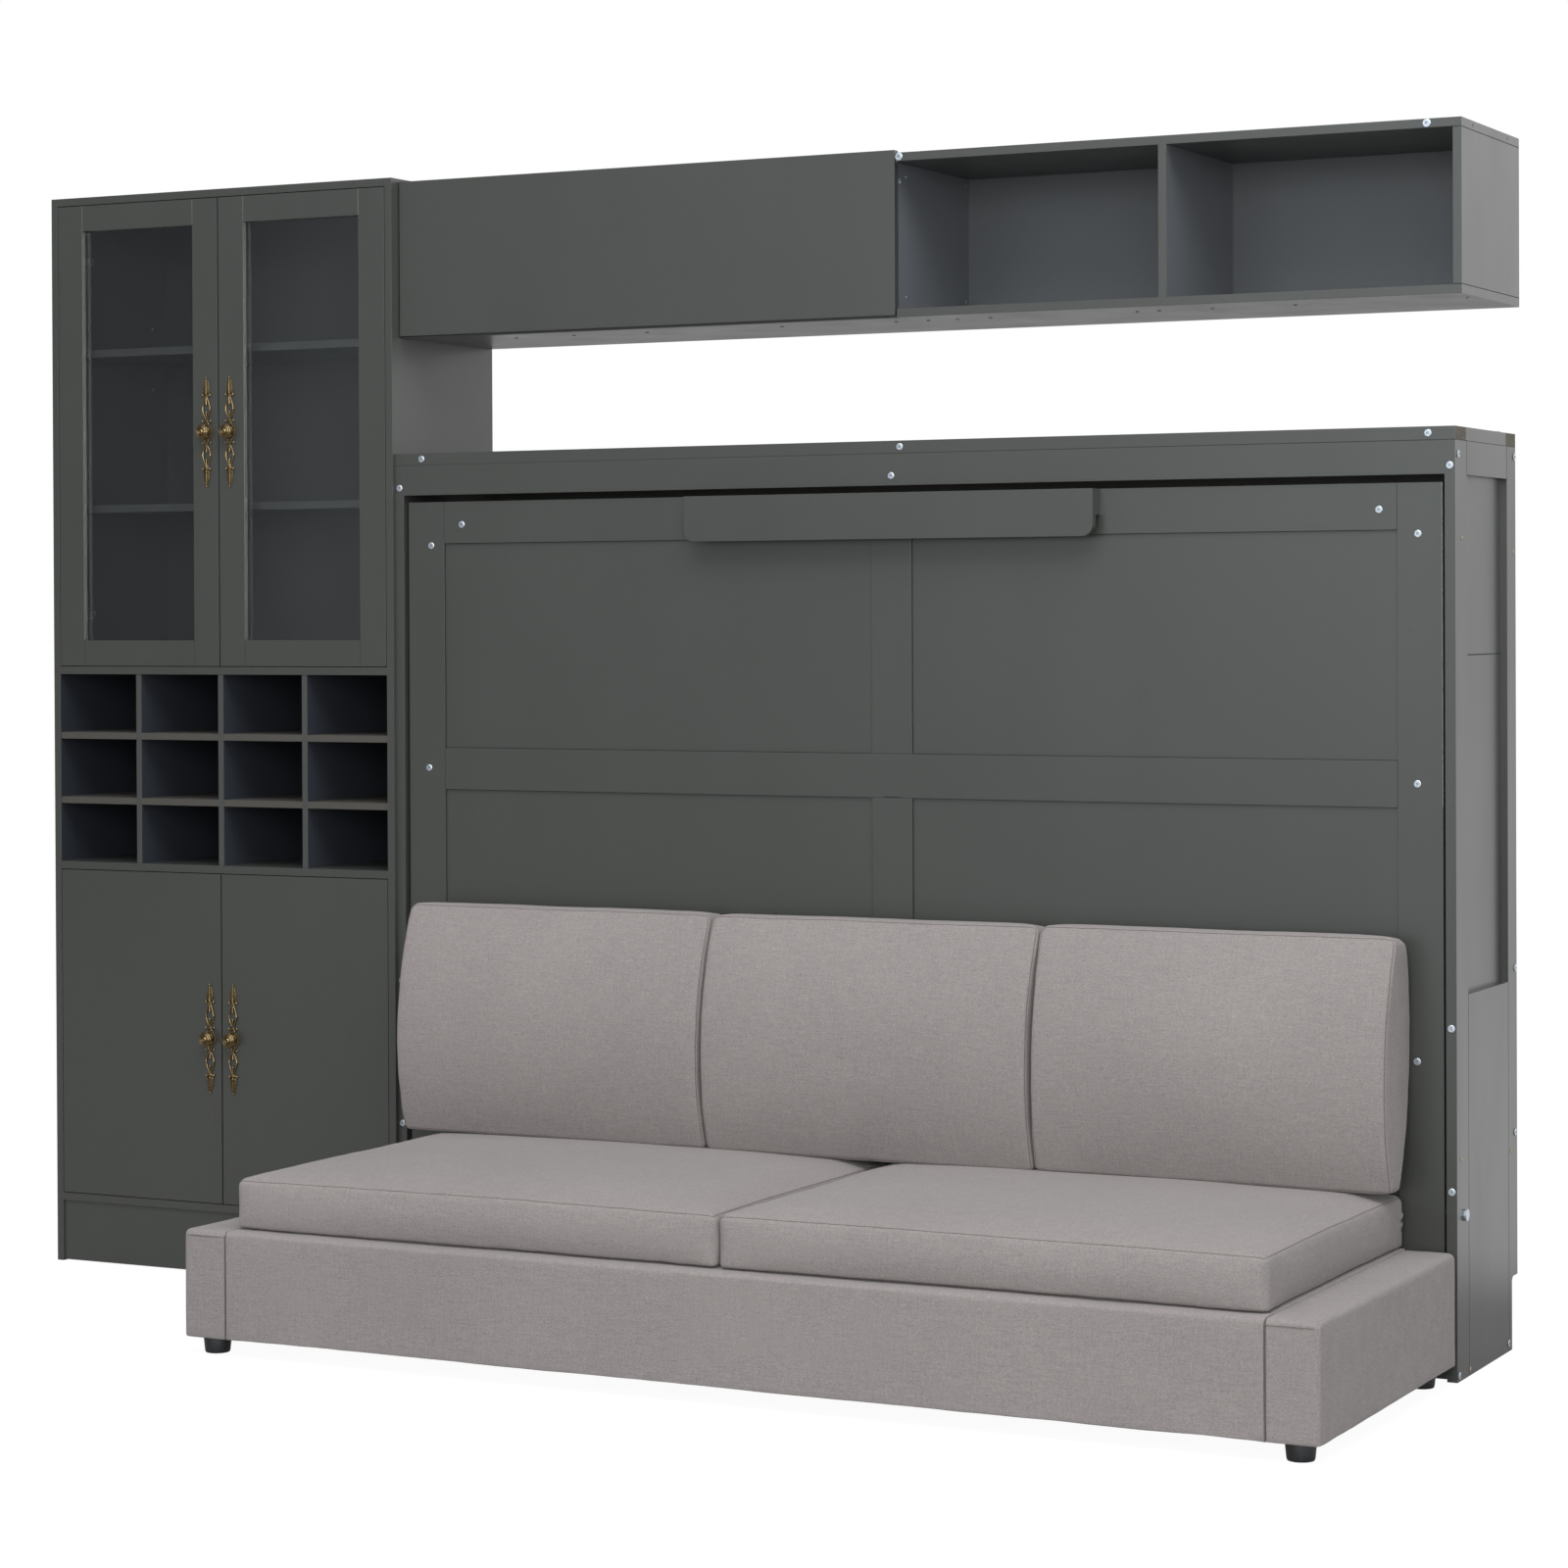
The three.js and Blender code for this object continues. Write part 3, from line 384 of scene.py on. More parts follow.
def sides_painted_light(board, shade, painted_light, gloss=0.31):
    """Colours a standing board's left and right sides, all but their front edges, with a tint of painted
    light, darker in the rack and paler in the overhead's bays.
    """
    low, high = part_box(board)
    sides = [((x - skin, low.y + edge_in, low.z), (x + skin, high.y, high.z)) for x in (low.x, high.x)]
    finish_node(board, lacquer(f"{board} foil", shade, painted_light_boxes=(sides, painted_light), gloss=gloss))


# The bottle rack's boards are the same fibreboard in a flatter grey, sawn and halved into each
# other. The uprights' sides and the tower's left side between them are coloured a dark blue-grey,
# a painted shade for the dim cells, and the shelves are a warmer grey.
rack_painted_shade = (56, 60, 68)
rack_low, rack_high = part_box("rack_divider_1")
low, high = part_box("lower_left_side")
inner_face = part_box("rack_floor")[0].x
# The tower's wall inside the rack gets the same painted shade.
rack_wall = [(
    (inner_face - skin, low.y + edge_in, rack_low.z), (inner_face + skin, high.y, rack_high.z)
)]
finish_node("lower_left_side", lacquer("rack wall foil", board_shade, painted_light_boxes=(rack_wall, rack_painted_shade)))
for board in ("rack_divider_1", "rack_divider_2", "rack_divider_3"):
    sides_painted_light(board, (70, 72, 70), rack_painted_shade, gloss=0.5)
rack_shelf_lacquer = lacquer("rack shelf lacquer", (78, 75, 70), gloss=0.5)
for board in ("rack_shelf_1", "rack_shelf_2"):
    finish_node(board, rack_shelf_lacquer)

# The tower's backs are thin hardboard, pinned into rebates in the sides from behind. Their grey is
# darker than the boards', a painted shade for the dim space behind the glass and in the rack.
tower_back_painted_shade = lacquer("back foil", (50, 49, 46), gloss=0.45)
for board in ("lower_back", "upper_back"):
    finish_node(board, tower_back_painted_shade)

# The overhead's open bays are coloured a paler, colder grey than the fronts, a painted light for the
# cool light that falls into them from the right, and a tone paler still on both dividers than on
# the back. Only the dividers' front edges carry the lacquer of the fronts.
bay_back_painted_light = (93, 96, 99)
divider_painted_light = (118, 122, 128)
finish_node("overhead_back", lacquer("bay back foil", bay_back_painted_light, gloss=0.45))
for board in ("overhead_divider_left", "overhead_divider_right"):
    sides_painted_light(board, board_shade, divider_painted_light)


# The glazed doors: two stiles that run the whole height with rails between them, and a pane of
# clear glass laid in a rebate from behind. The lacquer is rubbed off the left edge of each opening.
door_stile = 0.058
door_rail = 0.050
arris_depth = 0.002
joint_wear, arris_wear = (122, 116, 104), (112, 108, 100)
for door in ("glass_door_left", "glass_door_right"):
    low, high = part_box(f"{door}_frame")
    joints = []
    marked = []
    for x in (low.x + door_stile, high.x - door_stile):
        joints.append((0, x, 2, low.z, low.z + door_rail))
        marked.append((
            (x - skin, low.y - skin, high.z - door_rail), (x + skin, low.y + skin, high.z), joint_wear
        ))
    edge = low.x + door_stile
    marked.append((
        (edge - skin, low.y - skin, low.z + door_rail),
        (edge + skin, low.y + arris_depth, high.z - door_rail),
        arris_wear,
    ))
    finish_node(f"{door}_frame", lacquer(f"{door} lacquer", board_shade, joints, marked))

# The panes are clear float glass. They give back only the faint gloss of their two faces, and all
# else passes straight through them.
pane = Finish("clear glass")
gloss_share = pane.tone("ShaderNodeFresnel", None, IOR=1.45)
pane_shader = pane.node(
    "ShaderNodeBsdfPrincipled",
    None,
    Base_Color=(0.95, 0.96, 0.96, 1),
    Roughness=0.02,
    Metallic=1.0,
    Alpha=gloss_share * 1.8,
)
clear_glass = pane.close(pane_shader)
for door in ("glass_door_left", "glass_door_right"):
    finish_node(f"{door}_pane", clear_glass)


# The door handles: cast brass plates of beads, loops and a leaf at each end, aged so that the
# hollows are brown. A turned knob is screwed through the middle, one plate on each door.
def finished_mesh(made, name, smooth=False):
    """Turns the faces outwards and ends the making of a mesh."""
    bmesh.ops.recalc_face_normals(made, faces=made.faces)
    for face in made.faces:
        face.smooth = smooth
    mesh = bpy.data.meshes.new(name)
    made.to_mesh(mesh)
    made.free()
    return mesh


def join_rings(made, lower, upper):
    """Quads between two rings of corners, or triangles where one of them is a single point."""
    count = max(len(lower), len(upper))
    for i in range(count):
        j = (i + 1) % count
        corners = (
            lower[i % len(lower)], lower[j % len(lower)], upper[j % len(upper)], upper[i % len(upper)]
        )
        face = list(dict.fromkeys(corners))
        if len(face) > 2:
            made.faces.new(face)


def lathe(profile, steps, name):
    """A closed turned shape round Z from (radius, height) pairs that start and end on the axis."""
    turned = bmesh.new()
    rings = []
    for radius, height in profile:
        if radius == 0:
            rings.append([turned.verts.new((0, 0, height))])
            continue
        angles = [2 * math.pi * i / steps for i in range(steps)]
        rings.append([
            turned.verts.new((radius * math.cos(angle), radius * math.sin(angle), height))
            for angle in angles
        ])
    for lower, upper in zip(rings, rings[1:]):
        join_rings(turned, lower, upper)
    return finished_mesh(turned, name, smooth=True)


def gather(name, meshes):
    """One mesh from (mesh, matrix) pairs."""
    whole = bmesh.new()
    for mesh, matrix in meshes:
        copy = mesh.copy()
        copy.transform(matrix)
        whole.from_mesh(copy)
        bpy.data.meshes.remove(copy)
    result = bpy.data.meshes.new(name)
    whole.to_mesh(result)
    whole.free()
    return result


def wire(path, radii, sides, name, flat=1.0):
    """A capped tube along points, with a radius for each point, and flattened by the given share."""
    made = bmesh.new()
    rings = []
    for i, point in enumerate(path):
        before = path[max(i - 1, 0)]
        after = path[min(i + 1, len(path) - 1)]
        along = (Vector(after) - Vector(before)).normalized()
        across = along.cross(Vector((0, 1, 0))).normalized()
        out = across.cross(along)
        ring = []
        for k in range(sides):
            angle = 2 * math.pi * k / sides
            offset = across * math.cos(angle) + out * math.sin(angle) * flat
            ring.append(made.verts.new(Vector(point) + offset * radii[i]))
        rings.append(ring)
    for lower, upper in zip(rings, rings[1:]):
        join_rings(made, lower, upper)
    made.faces.new(rings[0])
    made.faces.new(reversed(rings[-1]))
    return finished_mesh(made, name, smooth=True)


def tree_node(tree, kind, settings=None, **inputs):
    made = tree.nodes.new(kind)
    for setting, value in (settings or {}).items():
        setattr(made, setting, value)
    for key, value in inputs.items():
        socket = made.inputs[key.replace("_", " ")]
        if isinstance(value, bpy.types.NodeSocket):
            tree.links.new(value, socket)
        else:
            socket.default_value = value
    return made


def open_tree(name, inputs):
    """A Geometry Nodes tree with a geometry input and the given named inputs."""
    tree = bpy.data.node_groups.new(name, "GeometryNodeTree")
    tree.interface.new_socket(name="Geometry", in_out="INPUT", socket_type="NodeSocketGeometry")
    for label, kind in inputs:
        tree.interface.new_socket(name=label, in_out="INPUT", socket_type=kind)
    tree.interface.new_socket(name="Geometry", in_out="OUTPUT", socket_type="NodeSocketGeometry")
    return tree, tree.nodes.new("NodeGroupInput")


def close_tree(tree, geometry, source):
    real = tree_node(tree, "GeometryNodeRealizeInstances", Geometry=geometry)
    coated = tree_node(
        tree, "GeometryNodeSetMaterial", Geometry=real.outputs[0], Material=source.outputs["Material"]
    )
    out = tree.nodes.new("NodeGroupOutput")
    tree.links.new(coated.outputs[0], out.inputs[0])


def run_tree(tree, mesh, values, name):
    """The mesh that a tree makes from another mesh, with its inputs set by name."""
    holder = bpy.data.objects.new(name, mesh)
    bpy.context.scene.collection.objects.link(holder)
    modifier = holder.modifiers.new("tree", "NODES")
    modifier.node_group = tree
    for item in tree.interface.items_tree:
        if item.in_out == "INPUT" and item.name in values:
            modifier[item.identifier] = values[item.name]
    graph = bpy.context.evaluated_depsgraph_get()
    result = bpy.data.meshes.new_from_object(
        holder.evaluated_get(graph), preserve_all_data_layers=True, depsgraph=graph
    )
    bpy.data.objects.remove(holder)
    result.name = name
    return result


def add_piece(name, mesh, body, material=None):
    piece = bpy.data.objects.new(name, mesh)
    bpy.context.scene.collection.objects.link(piece)
    if material is not None:
        mesh.materials.clear()
        mesh.materials.append(material)
    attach(piece, body)
    return piece


aged = Finish("aged brass")
patina = aged.cloud(420, detail=3.0)
cast_grain = aged.cloud(1500, detail=1.0)
polish = aged.tone("ShaderNodeAmbientOcclusion", {"samples": 8}, Distance=0.004, output=1)
rubbed = polish.maths("POWER", polish, 3.0)
worn_share = (rubbed * 1.6 - 0.45 + (patina - 0.5) * 0.5).held(0.0, 1.0)
aged_shader = aged.node(
    "ShaderNodeBsdfPrincipled",
    None,
    Base_Color=aged.blend(worn_share, colour(22, 16, 8), colour(134, 113, 79)),
    Metallic=0.9,
    Roughness=worn_share * -0.24 + 0.42,
)
brass = aged.close(aged_shader, cast_grain, depth=0.0002, strength=0.4)

bead_tree, bead_in = open_tree(
    "beads", [("Faceting", "NodeSocketInt"), ("Material", "NodeSocketMaterial")]
)
bead_ball = tree_node(
    bead_tree, "GeometryNodeMeshIcoSphere", Radius=1.0, Subdivisions=bead_in.outputs["Faceting"]
)
bead_size = tree_node(bead_tree, "GeometryNodeInputNamedAttribute", {"data_type": "FLOAT"}, Name="size")
bead_copies = tree_node(
    bead_tree,
    "GeometryNodeInstanceOnPoints",
    Points=bead_in.outputs["Geometry"],
    Instance=bead_ball.outputs[0],
    Scale=bead_size.outputs[0],
)
close_tree(bead_tree, bead_copies.outputs[0], bead_in)


def bead_mesh(beads, name, material):
    """Round beads from (x, y, z, radius) in metres."""
    seeds = bpy.data.meshes.new(name)
    seeds.from_pydata([bead[:3] for bead in beads], [], [])
    sizes = seeds.attributes.new("size", "FLOAT", "POINT")
    sizes.data.foreach_set("value", [bead[3] for bead in beads])
    return run_tree(bead_tree, seeds, {"Faceting": 3, "Material": material}, name)


def in_metres(profile, across=1):
    """A profile in metres from one in millimetres, whose radii are shares of a width."""
    return [(radius * across * millimetre, height * millimetre) for radius, height in profile]


# Sizes in millimetres from the plate's centre, as (across, along)
plate_relief = 1.7
rosette_half = (12.3, 15.5)
rosette_profile = [
    (0, 0), (1, 0), (1, 1.5), (0.95, 2.1), (0.86, 1.7), (0.74, 1.2), (0.6, 1.3), (0.5, 2.6), (0, 2.8),
]
knob_profile = [
    (0, 1.0), (6.4, 1.0), (6.2, 3.4), (5.2, 5.6), (4.7, 8.0), (4.9, 11.4), (6.6, 13.2), (10.4, 14.2),
    (13.2, 15.4), (14.0, 17.0), (13.8, 18.8), (13.0, 19.8), (12.2, 19.9), (11.4, 19.3), (10.8, 19.4),
    (10.3, 20.5), (9.4, 21.5), (8.4, 21.6), (7.8, 20.8), (7.1, 20.5), (6.2, 20.9), (5.4, 22.4),
    (4.5, 23.6), (3.6, 24.3), (2.7, 24.2), (2.0, 23.0), (1.2, 22.3), (0, 22.1),
]
turned_steps = 48
knob = lathe(in_metres(knob_profile), turned_steps, "knob")
rosette = lathe(in_metres(rosette_profile, rosette_half[0]), turned_steps, "rosette")
rosette.transform(Matrix.Diagonal((1, rosette_half[1] / rosette_half[0], 1, 1)))


def smooth_path(points, steps):
    """A curve through points, each an (across, out, along) in millimetres, in metres."""
    ends = [points[0], *points, points[-1]]
    path = []
    for i in range(len(points) - 1):
        before, start, end, after = (Vector(ends[i + k]) for k in range(4))
        for step in range(steps):
            t = step / steps
            path.append(0.5 * (
                2 * start + (end - before) * t + (2 * before - 5 * start + 4 * end - after) * t ** 2
                + (3 * start - before - 3 * end + after) * t ** 3
            ) * millimetre)
    path.append(Vector(points[-1]) * millimetre)
    return path


rod_sides = 8


def rod(points, name, steps=5):
    """A cast rod from (across, along, radius, rise) points, thick or thin as they say."""
    path = smooth_path([(x, -plate_relief - rise, z) for x, z, radius, rise in points], steps)
    radii = []
    for i in range(len(path)):
        place, share = divmod(i / steps, 1)
        k = min(int(place), len(points) - 2)
        share = share if int(place) < len(points) - 1 else 1.0
        radii.append((points[k][2] * (1 - share) + points[k + 1][2] * share) * millimetre)
    return wire(path, radii, rod_sides, name)


strand = [
    (-5, 15, 1.6, 0.0), (-2.6, 20, 1.6, 0.3), (0.2, 24.4, 1.5, 0.5), (4.6, 31, 1.4, 0.2),
    (7.6, 38, 1.5, 0.2), (8.7, 44.5, 2.1, 0.4), (7.6, 51, 1.6, 0.2), (5.2, 57.5, 1.4, 0.0),
    (3.2, 63, 1.4, 0.0), (2.2, 69, 1.6, 0.0),
]
tongue = [(0, 70, 1.6, 0.6), (0, 64, 1.5, 0.6), (0, 58, 1.7, 0.6), (0, 53.5, 2.0, 0.5)]
half_parts = [
    rod(strand, "strand"),
    rod([(-x, z, radius, -rise * 0.6) for x, z, radius, rise in strand], "strand"),
    rod(tongue, "tongue"),
    rod([(0, 37, 1.9, 0.2), (0, 32, 1.5, 0.2), (0, 27, 1.1, 0.0)], "drop"),
    rod([(-9.3, 21, 1.3, -0.2), (0, 20, 1.6, 0.0), (9.3, 21, 1.3, -0.2)], "bar"),
    rod([(-9, 32.5, 0.8, -0.4), (-5.2, 33.5, 1.0, -0.4)], "bar"),
    rod([(9, 32.5, 0.8, -0.4), (5.2, 33.5, 1.0, -0.4)], "bar"),
    rod([(-8.4, 71.3, 1.3, -0.2), (0, 69.5, 3.0, 0.0), (8.4, 71.3, 1.3, -0.2)], "neck"),
    rod([(0, 72, 2.6, 0.2), (0, 80, 1.5, 0.7), (0, 92, 1.2, 0.7), (0, 103, 1.0, 0.3)], "rib"),
]
leaf_edge = [(70, 3.0), (75, 6.6), (83, 7.6), (90, 6.6), (96, 5.2), (101, 3.4), (105, 1.6)]
leaf_rise, leaf_flatness, leaf_sides = 0.7, 0.24, 14
leaf_path = [Vector((0, -leaf_rise, z)) * millimetre for z, half_width in leaf_edge]
leaf_halves = [half_width * millimetre for z, half_width in leaf_edge]
half_parts.append(wire(leaf_path, leaf_halves, leaf_sides, "leaf", flat=leaf_flatness))
half_handle = gather("half handle", [(mesh, Matrix()) for mesh in half_parts])

bead_places = [(0, 38, 2.2, 0.4), (0, 53.5, 2.1, 0.4), (0, 76, 2.2, 1.0), (0, 105, 2.1, 0.0)]
for x, z, radius in ((9.3, 21, 2.4), (9.2, 32.5, 1.3), (8.5, 71.3, 2.7)):
    bead_places += [(x, z, radius, 0.0), (-x, z, radius, 0.0)]
leaf_rows = ((7.3, 2.4, 74.5, 101.5, 1.5, 1.1, 8, 0.0), (3.6, 1.6, 79, 96, 1.3, 0.9, 5, 0.9))
for wide, narrow, start, end, thick, thin, count, rise in leaf_rows:
    for i in range(count):
        share = i / (count - 1)
        x = wide + (narrow - wide) * share ** 1.5
        radius = thick + (thin - thick) * share
        bead_places += [(side * x, start + (end - start) * share, radius, rise) for side in (-1, 1)]
turned_about = [(-x, -z, radius, rise) for x, z, radius, rise in bead_places]
rim_beads = 26
rim_across, rim_along, rim_radius, rim_rise = 12.2, 15.3, 1.3, 0.2
rim = []
for i in range(rim_beads):
    angle = 2 * math.pi * i / rim_beads
    rim.append((rim_across * math.cos(angle), rim_along * math.sin(angle), rim_radius, rim_rise))
plate_beads = bead_mesh(
    [
        (x * millimetre, -(plate_relief + rise) * millimetre, z * millimetre, radius * millimetre)
        for x, z, radius, rise in bead_places + turned_about + rim
    ],
    "plate beads",
    brass,
)
toward_room = Matrix.Rotation(math.pi / 2, 4, "X")
upside_down = Matrix.Rotation(math.pi, 4, "Y")
handle_mesh = gather("handle", [
    (knob, toward_room), (rosette, toward_room), (half_handle, Matrix()), (half_handle, upside_down),
    (plate_beads, Matrix()),
])
door_bodies = ("glass_door_left", "glass_door_right", "cupboard_door_left", "cupboard_door_right")
for door in door_bodies:
    low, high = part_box(f"{door}_handle")
    plate = handle_mesh.copy()
    plate.transform(Matrix.Translation(((low.x + high.x) / 2, high.y, (low.z + high.z) / 2)))
    for face in plate.polygons:
        face.use_smooth = True
    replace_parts(add_piece(f"{door}_pull", plate, door, brass), f"{door}_handle")


# The fasteners: zinc-plated furniture bolts with a low round head and a hexagon socket, let into
# countersunk holes. One tree sets a head on each place, turned to the face that it is in.
plated = Finish("zinc plate")
spangle = plated.cloud(900, detail=2.0)
# The zinc's colour is painted darker in its sockets and crevices, a painted shade, and mixed with a
# random spangle.
crevice_shade = plated.tone("ShaderNodeAmbientOcclusion", {"samples": 8}, Distance=0.003, output=1)
spangle_and_shade = (crevice_shade.maths("POWER", crevice_shade, 1.6) * 0.8 + spangle * 0.4 - 0.1).held(0.0, 1.0)
plated_shader = plated.node(
    "ShaderNodeBsdfPrincipled",
    None,
    Base_Color=plated.blend(spangle_and_shade, colour(78, 84, 90), colour(196, 203, 210)),
    Metallic=0.75,
    Roughness=spangle * 0.2 + 0.28,
)
zinc = plated.close(plated_shader, spangle, depth=0.0001, strength=0.3)
for bolt in ("pivot_bolt_left", "pivot_bolt_right"):
    finish_node(bolt, zinc)

head_tree, head_in = open_tree(
    "heads", [("Head", "NodeSocketObject"), ("Material", "NodeSocketMaterial")]
)
head_shape = tree_node(head_tree, "GeometryNodeObjectInfo", Object=head_in.outputs["Head"])
head_facing = tree_node(
    head_tree, "GeometryNodeInputNamedAttribute", {"data_type": "FLOAT_VECTOR"}, Name="facing"
)
head_turn = tree_node(
    head_tree, "FunctionNodeAlignRotationToVector", {"axis": "Z"}, Vector=head_facing.outputs[0]
)
head_copies = tree_node(
    head_tree,
    "GeometryNodeInstanceOnPoints",
    Points=head_in.outputs["Geometry"],
    Instance=head_shape.outputs["Geometry"],
    Rotation=head_turn.outputs[0],
)
close_tree(head_tree, head_copies.outputs[0], head_in)


def socket_head(radius, height, socket_radius, name):
    """A low round head with a hexagon socket sunk in it, in metres."""
    steps = 24
    hollow_floor = height * 0.2
    rings = [(0.0, radius * 0.96), (height * 0.55, radius), (height, radius * 0.82)]
    made = bmesh.new()

    def ring(reach, z):
        angles = [2 * math.pi * i / steps for i in range(steps)]
        return [made.verts.new((reach * math.cos(turn), reach * math.sin(turn), z)) for turn in angles]

    def hexagon(z):
        corners = [Vector((math.cos(math.pi / 3 * i), math.sin(math.pi / 3 * i), 0)) for i in range(7)]
        points = []
        for i in range(steps):
            side, share = divmod(i * 6 / steps, 1)
            place = corners[int(side)].lerp(corners[int(side) + 1], share) * socket_radius
            points.append(made.verts.new((place.x, place.y, z)))
        return points

    loops = [ring(reach, z) for z, reach in rings] + [hexagon(height), hexagon(hollow_floor)]
    for lower, upper in zip(loops, loops[1:]):
        join_rings(made, lower, upper)
    made.faces.new(reversed(loops[0]))
    made.faces.new(loops[-1])
    return finished_mesh(made, name)


def set_heads(name, places, head, body, material):
    """Heads at (point, facing) pairs as one piece on a body."""
    seeds = bpy.data.meshes.new(name)
    seeds.from_pydata([point for point, facing in places], [], [])
    facings = seeds.attributes.new("facing", "FLOAT_VECTOR", "POINT")
    facings.data.foreach_set("vector", [c for point, facing in places for c in facing])
    mesh = run_tree(head_tree, seeds, {"Head": head, "Material": material}, name)
    return add_piece(name, mesh, body, material)


def master(mesh):
    holder = bpy.data.objects.new(mesh.name, mesh)
    bpy.context.scene.collection.objects.link(holder)
    return holder


bolt_head = master(socket_head(0.0064, 0.0018, 0.0027, "bolt head"))
large_head = master(socket_head(0.0072, 0.0022, 0.0030, "large bolt head"))
small_head = master(socket_head(0.0036, 0.0012, 0.0014, "screw head"))
room, right, left, above, below = (0, -1, 0), (1, 0, 0), (-1, 0, 0), (0, 0, 1), (0, 0, -1)

cabinet_bolts = [(at(x, 0, z), room) for x in (-9, -2051) for z in (1515, 585, 315)]
cabinet_bolts += [(at(-1026, 0, 1518), room)]
cabinet_bolts += [(at(x, 0, 1569), room) for x in (-2002, -1009, -46)]
cabinet_bolts += [(at(x, 60, 1580), above) for x in (-1565, -1051, -529, -37)]
cabinet_bolts += [(at(-9, 274, 1580), above)]
cabinet_bolts += [
    (at(0, y, z), right)
    for y, z in ((345, 657), (342, 373), (300, 14), (10, 10), (17, 1534), (347, 1540))
]
set_heads("cabinet_bolts", cabinet_bolts, bolt_head, "cabinet", zinc)

overhead_low, overhead_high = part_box("overhead_top")
overhead_front = overhead_low.y
top_middle = (overhead_low.z + overhead_high.z) / 2
overhead_bolts = [(Vector((at(x, 0, 0).x, overhead_front, top_middle)), room) for x in (-1015, -51)]
set_heads("overhead_bolts", overhead_bolts, large_head, "cabinet", zinc)

# Small zinc-plated wood screws hold the overhead's bottom board from below. Others stand in its left
# divider's side and on its top board.
overhead_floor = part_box("overhead_bottom")[0].z
floor_screws_in = 0.1
floor_screws_along = (
    -2040, -1925, -1861, -1736, -1579, -1298, -1068, -1004, -947, -883, -604, -563, -465, -314, -11,
)
shelf_screws = [
    (Vector((at(x, 0, 0).x, overhead_front + floor_screws_in, overhead_floor)), below)
    for x in floor_screws_along
]
divider_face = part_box("overhead_divider_left")[1].x
for y, z in ((0.055, 2.053), (0.315, 2.062), (0.055, 1.838), (0.315, 1.848)):
    shelf_screws.append((Vector((divider_face, overhead_front + y, z)), right))
top_screw_in = 0.262
shelf_screws.append((Vector((at(-8, 0, 0).x, overhead_front + top_screw_in, overhead_high.z)), above))
set_heads("shelf_screws", shelf_screws, small_head, "cabinet", zinc)

# A zinc-plated ring, turned and pressed in, lines the small hole near the divider's front edge
ring_profile = [(0.0022, 0), (0.0062, 0), (0.0062, 0.0009), (0.0052, 0.0014), (0.0034, 0.0012)]
ring_outline = [Vector((0, radius, height)) for radius, height in ring_profile]
ring_steps = 28
ring_in, ring_height = 0.0265, 2.041
grommet = bmesh.new()
ring_loops = []
for i in range(ring_steps):
    swing = Matrix.Rotation(2 * math.pi * i / ring_steps, 3, "Z")
    ring_loops.append([grommet.verts.new(swing @ point) for point in ring_outline])
for lower, upper in zip(ring_loops, [*ring_loops[1:], ring_loops[0]]):
    join_rings(grommet, lower, upper)
grommet_mesh = finished_mesh(grommet, "grommet")
grommet_mesh.transform(Matrix.Rotation(math.pi / 2, 4, "Y"))
grommet_mesh.transform(Matrix.Translation((divider_face, overhead_front + ring_in, ring_height)))
add_piece("divider_grommet", grommet_mesh, "cabinet", zinc)

# The end of a zinc-plated sleeve nut sits in the flap's right edge as a bright ring, with a burr that
# hangs from it.
flap_low, flap_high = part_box("flap_door")
nut_profile = [(0, 0), (4.8, 0), (4.8, 0.7), (4.1, 1.2), (2.9, 1.1), (2.3, 0.3), (0, 0.3)]
nut_end = lathe(in_metres(nut_profile), 24, "nut end")
nut_end.transform(Matrix.Rotation(math.pi / 2, 4, "Y"))
burr_path = [Vector((0.5, 0, z)) * millimetre for z in (-4.2, -6.0, -8.0, -10.5)]
burr = wire(burr_path, [0.0013, 0.0012, 0.0009, 0.0004], 8, "burr")
nut_mesh = gather("nut", [(nut_end, Matrix()), (burr, Matrix())])
nut_sunk, nut_down = 0.0001, 0.012
nut_mesh.transform(Matrix.Translation((
    flap_high.x - nut_sunk, (flap_low.y + flap_high.y) / 2, flap_high.z - nut_down
)))
add_piece("flap_nut_end", nut_mesh, "flap", zinc)

# The bed's face frame is bolted to the box frame behind it with the same zinc-plated bolts, two in
# each upper corner and one at each joint further down.
bed_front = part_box("bed_face_frame")[0].y
bed_bolt_places = (
    (-66, 1403), (-68, 988), (-70, 527), (-1986, 1406), (-1993, 988), (-1993, 527), (-133, 1444),
    (-1919, 1445),
)
bed_bolts = []
for x, z in bed_bolt_places:
    place = at(x, 0, z)
    bed_bolts.append((Vector((place.x, bed_front, place.z)), room))
set_heads("bed_bolts", bed_bolts, bolt_head, "bed", zinc)

# Behind the glass, zinc-plated shelf pins are pushed into holes in the tower's sides, and each hinge
# arm ends in a plate that is held by two screws.
door_gap = 0.0015
wall_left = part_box("glass_door_left_frame")[0].x - door_gap
wall_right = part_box("glass_door_right_frame")[1].x + door_gap
shelf_pins = []
for y, z in ((301, 1864), (311, 1797), (301, 1740), (60, 1864), (60, 1740)):
    place = at(0, y, z)
    shelf_pins.append((Vector((wall_left, place.y, place.z)), right))
    shelf_pins.append((Vector((wall_right, place.y, place.z)), left))
set_heads("shelf_pins", shelf_pins, small_head, "cabinet", zinc)


